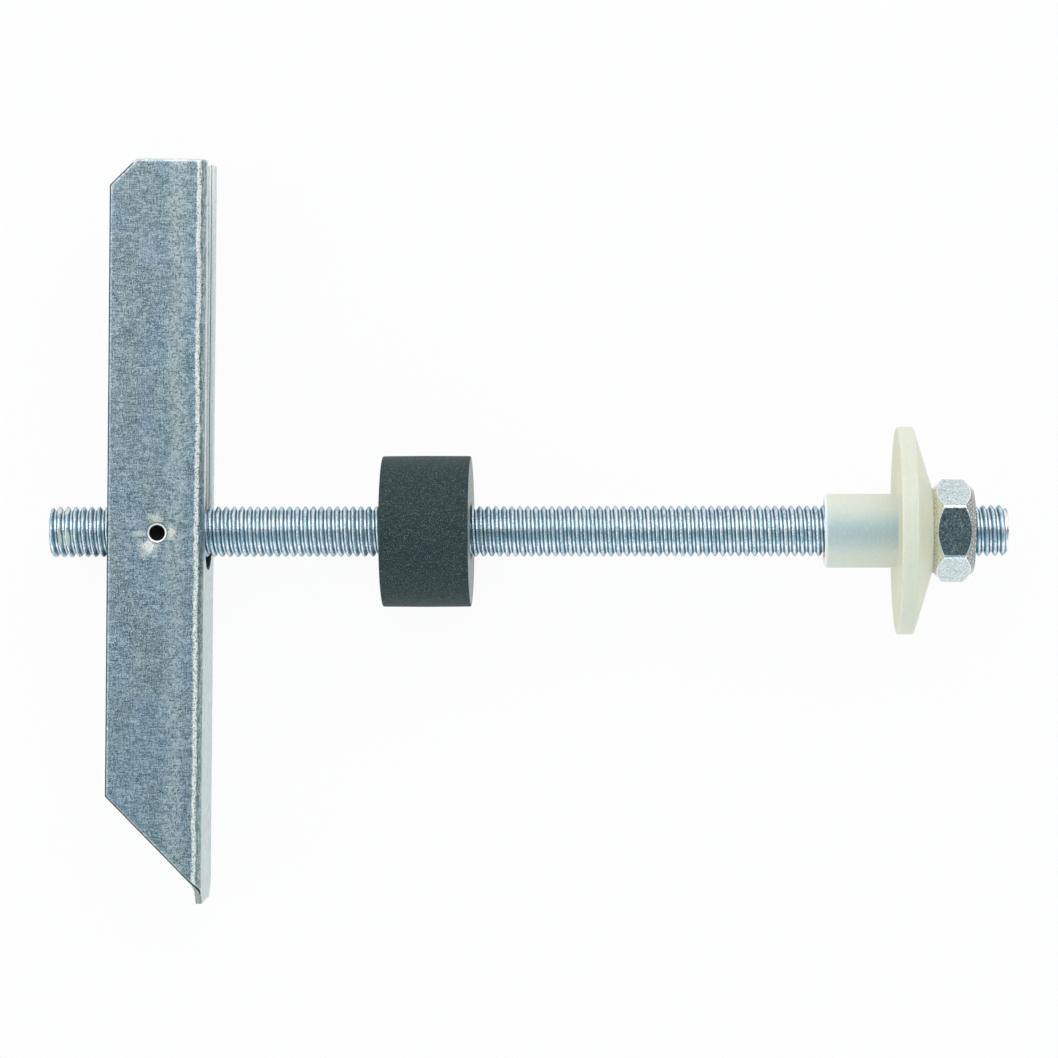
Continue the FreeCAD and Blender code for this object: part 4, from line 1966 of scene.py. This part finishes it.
@dataclass
class Studio:
    """The floor, the white background and the soft light."""

    floor_half: float = 1100.0
    under_sleeve: FlatPoint = (-27.3, -14.2)
    under_flange: FlatPoint = (69.3, -19.5)
    level: float = 1.0
    dome: Colour = (0.36, 0.41, 0.44)
    boxes: tuple[SoftBox, ...] = (
        SoftBox((0.20, 0.25, 0.25), x=(0.5, 1.2), z=(0.04, 0.94), soft=0.06),
        SoftBox((0.92, 0.92, 0.92), z=(-1.2, 0.05), soft=0.08),
        SoftBox((0.06, 0.095, 0.105), z=(0.962, 1.2), soft=0.012),
        SoftBox((0.50, 0.60, 0.66), y=(0.35, 1.2), z=(0.02, 0.38), soft=0.04),
        SoftBox((1.75, 1.76, 1.76), x=(-0.5, 0.8), y=(0.23, 1.2), z=(0.37, 1.2), soft=0.03),
        SoftBox((0.48, 0.66, 0.74), x=(-0.4, 1.2), y=(-1.2, -0.22), z=(0.40, 0.95), soft=0.06),
        SoftBox((1.8, 1.8, 1.75), x=(-0.8, 0.8), y=(-1.2, -0.5), z=(0.10, 0.36), soft=0.05),
        SoftBox((1.6, 1.6, 1.6), x=(-1.2, -0.6), y=(-0.42, 0.42), z=(0.14, 0.76), soft=0.06),
    )
    white_below: FlatPoint = (0.12, 0.02)
    lamp_power: float = 0.5
    lamp_size: FlatPoint = (0.9, 0.5)
    lamp_place: Stretch = (0.05, 0.62, 0.62)

    def build(self) -> None:
        """Build everything but the camera."""
        self.add_floor()
        self.add_dome()
        self.add_lamp()

    def add_floor(self) -> None:
        """Lay the floor plane at a slope, so that the sleeve and the flange both touch it."""
        (x0, z0), (x1, z1) = self.under_sleeve, self.under_flange
        slope = (z1 - z0) / (x1 - x0)
        half = self.floor_half
        corners = []
        for x, y in ((-half, -half), (half, -half), (half, half), (-half, half)):
            corners.append((x * MM, y * MM, (AXIS_HEIGHT + z0 + slope * (x - x0)) * MM))
        mesh = bpy.data.meshes.new("studio_floor")
        mesh.from_pydata(corners, [], [(0, 1, 2, 3)])
        mesh.materials.append(PaleFloor().make())
        floor = bpy.data.objects.new("studio_floor", mesh)
        bpy.context.scene.collection.objects.link(floor)

    def add_dome(self) -> None:
        """Make the world: white where it is seen, and a dome of soft boxes elsewhere."""
        world = bpy.data.worlds.new("studio")
        bpy.context.scene.world = world
        world.use_nodes = True
        sheet = NodeSheet(world.node_tree)
        direction = sheet.add("ShaderNodeTexCoord").outputs["Generated"]
        parts = sheet.add("ShaderNodeSeparateXYZ", {"Vector": direction})
        colour: object = self.dome
        for box in self.boxes:
            share: object = 1.0
            for letter, (low, high) in zip("XYZ", (box.x, box.y, box.z)):
                if low > -1 or high < 1:
                    middle, half = (low + high) / 2, (high - low) / 2
                    side = sheet.band(parts.outputs[letter], middle, half, box.soft)
                    share = sheet.both(share, side)
            colour = sheet.mix(share, colour, box.colour)
        lit = sheet.add("ShaderNodeBackground", {"Color": colour, "Strength": self.level})
        white = sheet.add("ShaderNodeBackground", {"Color": WHITE, "Strength": 1.0})
        camera = sheet.add("ShaderNodeLightPath").outputs[Rays.CAMERA.value]
        low_down = sheet.levels(parts.outputs["Z"], *self.white_below)
        low_down = sheet.both(background_rays(sheet), low_down)
        seen = sheet.maths("MAXIMUM", camera, low_down)
        both = sheet.blend(seen, lit.outputs[0], white.outputs[0])
        sheet.add("ShaderNodeOutputWorld", {"Surface": both})

    def add_lamp(self) -> None:
        """Add one large soft lamp over the far upper side."""
        data = bpy.data.lights.new("soft_lamp", "AREA")
        data.shape = "RECTANGLE"
        data.size, data.size_y = self.lamp_size
        data.energy = self.lamp_power
        lamp = bpy.data.objects.new("soft_lamp", data)
        place = Vector(self.lamp_place)
        aim = (Vector((0, 0, AXIS_HEIGHT * MM)) - place).to_track_quat("-Z", "Y")
        lamp.matrix_world = Matrix.Translation(place) @ aim.to_matrix().to_4x4()
        bpy.context.scene.collection.objects.link(lamp)


@dataclass(frozen=True)
class PortraitCamera:
    """The camera at the photo's viewing angle, above the set and almost square to it."""

    yaw_deg: float = -1.874
    pitch_deg: float = 1.047
    roll_deg: float = 0.117
    distance: float = 729.0
    aside: Stretch = (-0.220, -0.424, 0.0)
    lens: float = 131.56
    sensor: float = 36.0
    clip: FlatPoint = (0.01, 20.0)

    def build(self) -> None:
        """Add the camera."""
        turns = (
            Matrix.Rotation(math.radians(self.roll_deg), 3, "Z")
            @ Matrix.Rotation(math.radians(self.pitch_deg), 3, "X")
            @ Matrix.Rotation(math.radians(self.yaw_deg), 3, "Y")
        )
        axes = turns.transposed()
        away = axes @ Vector((-self.aside[0], -self.aside[1], self.distance))
        place = (Vector((0, 0, AXIS_HEIGHT)) + away) * MM
        data = bpy.data.cameras.new("portrait")
        data.lens, data.sensor_width = self.lens, self.sensor
        data.clip_start, data.clip_end = self.clip
        camera = bpy.data.objects.new("portrait", data)
        camera.matrix_world = Matrix.Translation(place) @ axes.to_4x4()
        bpy.context.scene.collection.objects.link(camera)
        bpy.context.scene.camera = camera


def hand_over(piece: Piece, node: str, body: Body) -> None:
    """Put a dressed piece in its node's place and log it.

    Args:
        piece: the piece.
        node: the node that it replaces.
        body: the body that it rides on.
    """
    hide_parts(node)
    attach(piece, body.value)
    LOG.info("%s: %d faces, on %s", piece.name, len(piece.data.polygons), body.value)


def main() -> None:
    """Build the pieces in the order of assembly, then the studio round them."""
    logging.basicConfig(level=logging.INFO, format="%(name)s %(message)s")
    plate, nut_plate = ZincPlate().make(), NutPlate().make()
    skin, edge = GalvanisedSkin().make(), ShearedEdge().make()
    rubber, cut_rubber = SleeveRubber().make(), CutRubber().make()
    nylon, drilled = NaturalNylon().make(), DrilledSteel().make()
    # A darker copy of the nylon for the flange's flat back: painted shade.
    back = NaturalNylon("shaded_nylon_back", cream=(0.70, 0.68, 0.46), pale=(0.73, 0.71, 0.51))
    shaded_nylon_back = back.make()

    hand_over(ThreadedRod().build(plate), "threaded_rod", Body.ROD)
    trunnion = TrunnionNut().build(nut_plate, drilled)
    hand_over(trunnion, "trunnion_nut", Body.TOGGLE_NUT)
    hand_over(ToggleChannel().build(skin, edge), "toggle_channel", Body.TOGGLE)
    hand_over(RubberSleeve().build(rubber, cut_rubber), "rubber_sleeve", Body.SLEEVE)
    hand_over(CollarWasher().build(nylon, shaded_nylon_back), "collar_washer", Body.WASHER)
    nut = HexNutShape("hex_nut", "hex_nut_dressed")
    hand_over(nut.build(nut_plate), "hex_nut", Body.NUT)

    Studio().build()
    PortraitCamera().build()
    bpy.context.scene.view_settings.view_transform = "Standard"


if __name__ == "__main__":
    main()
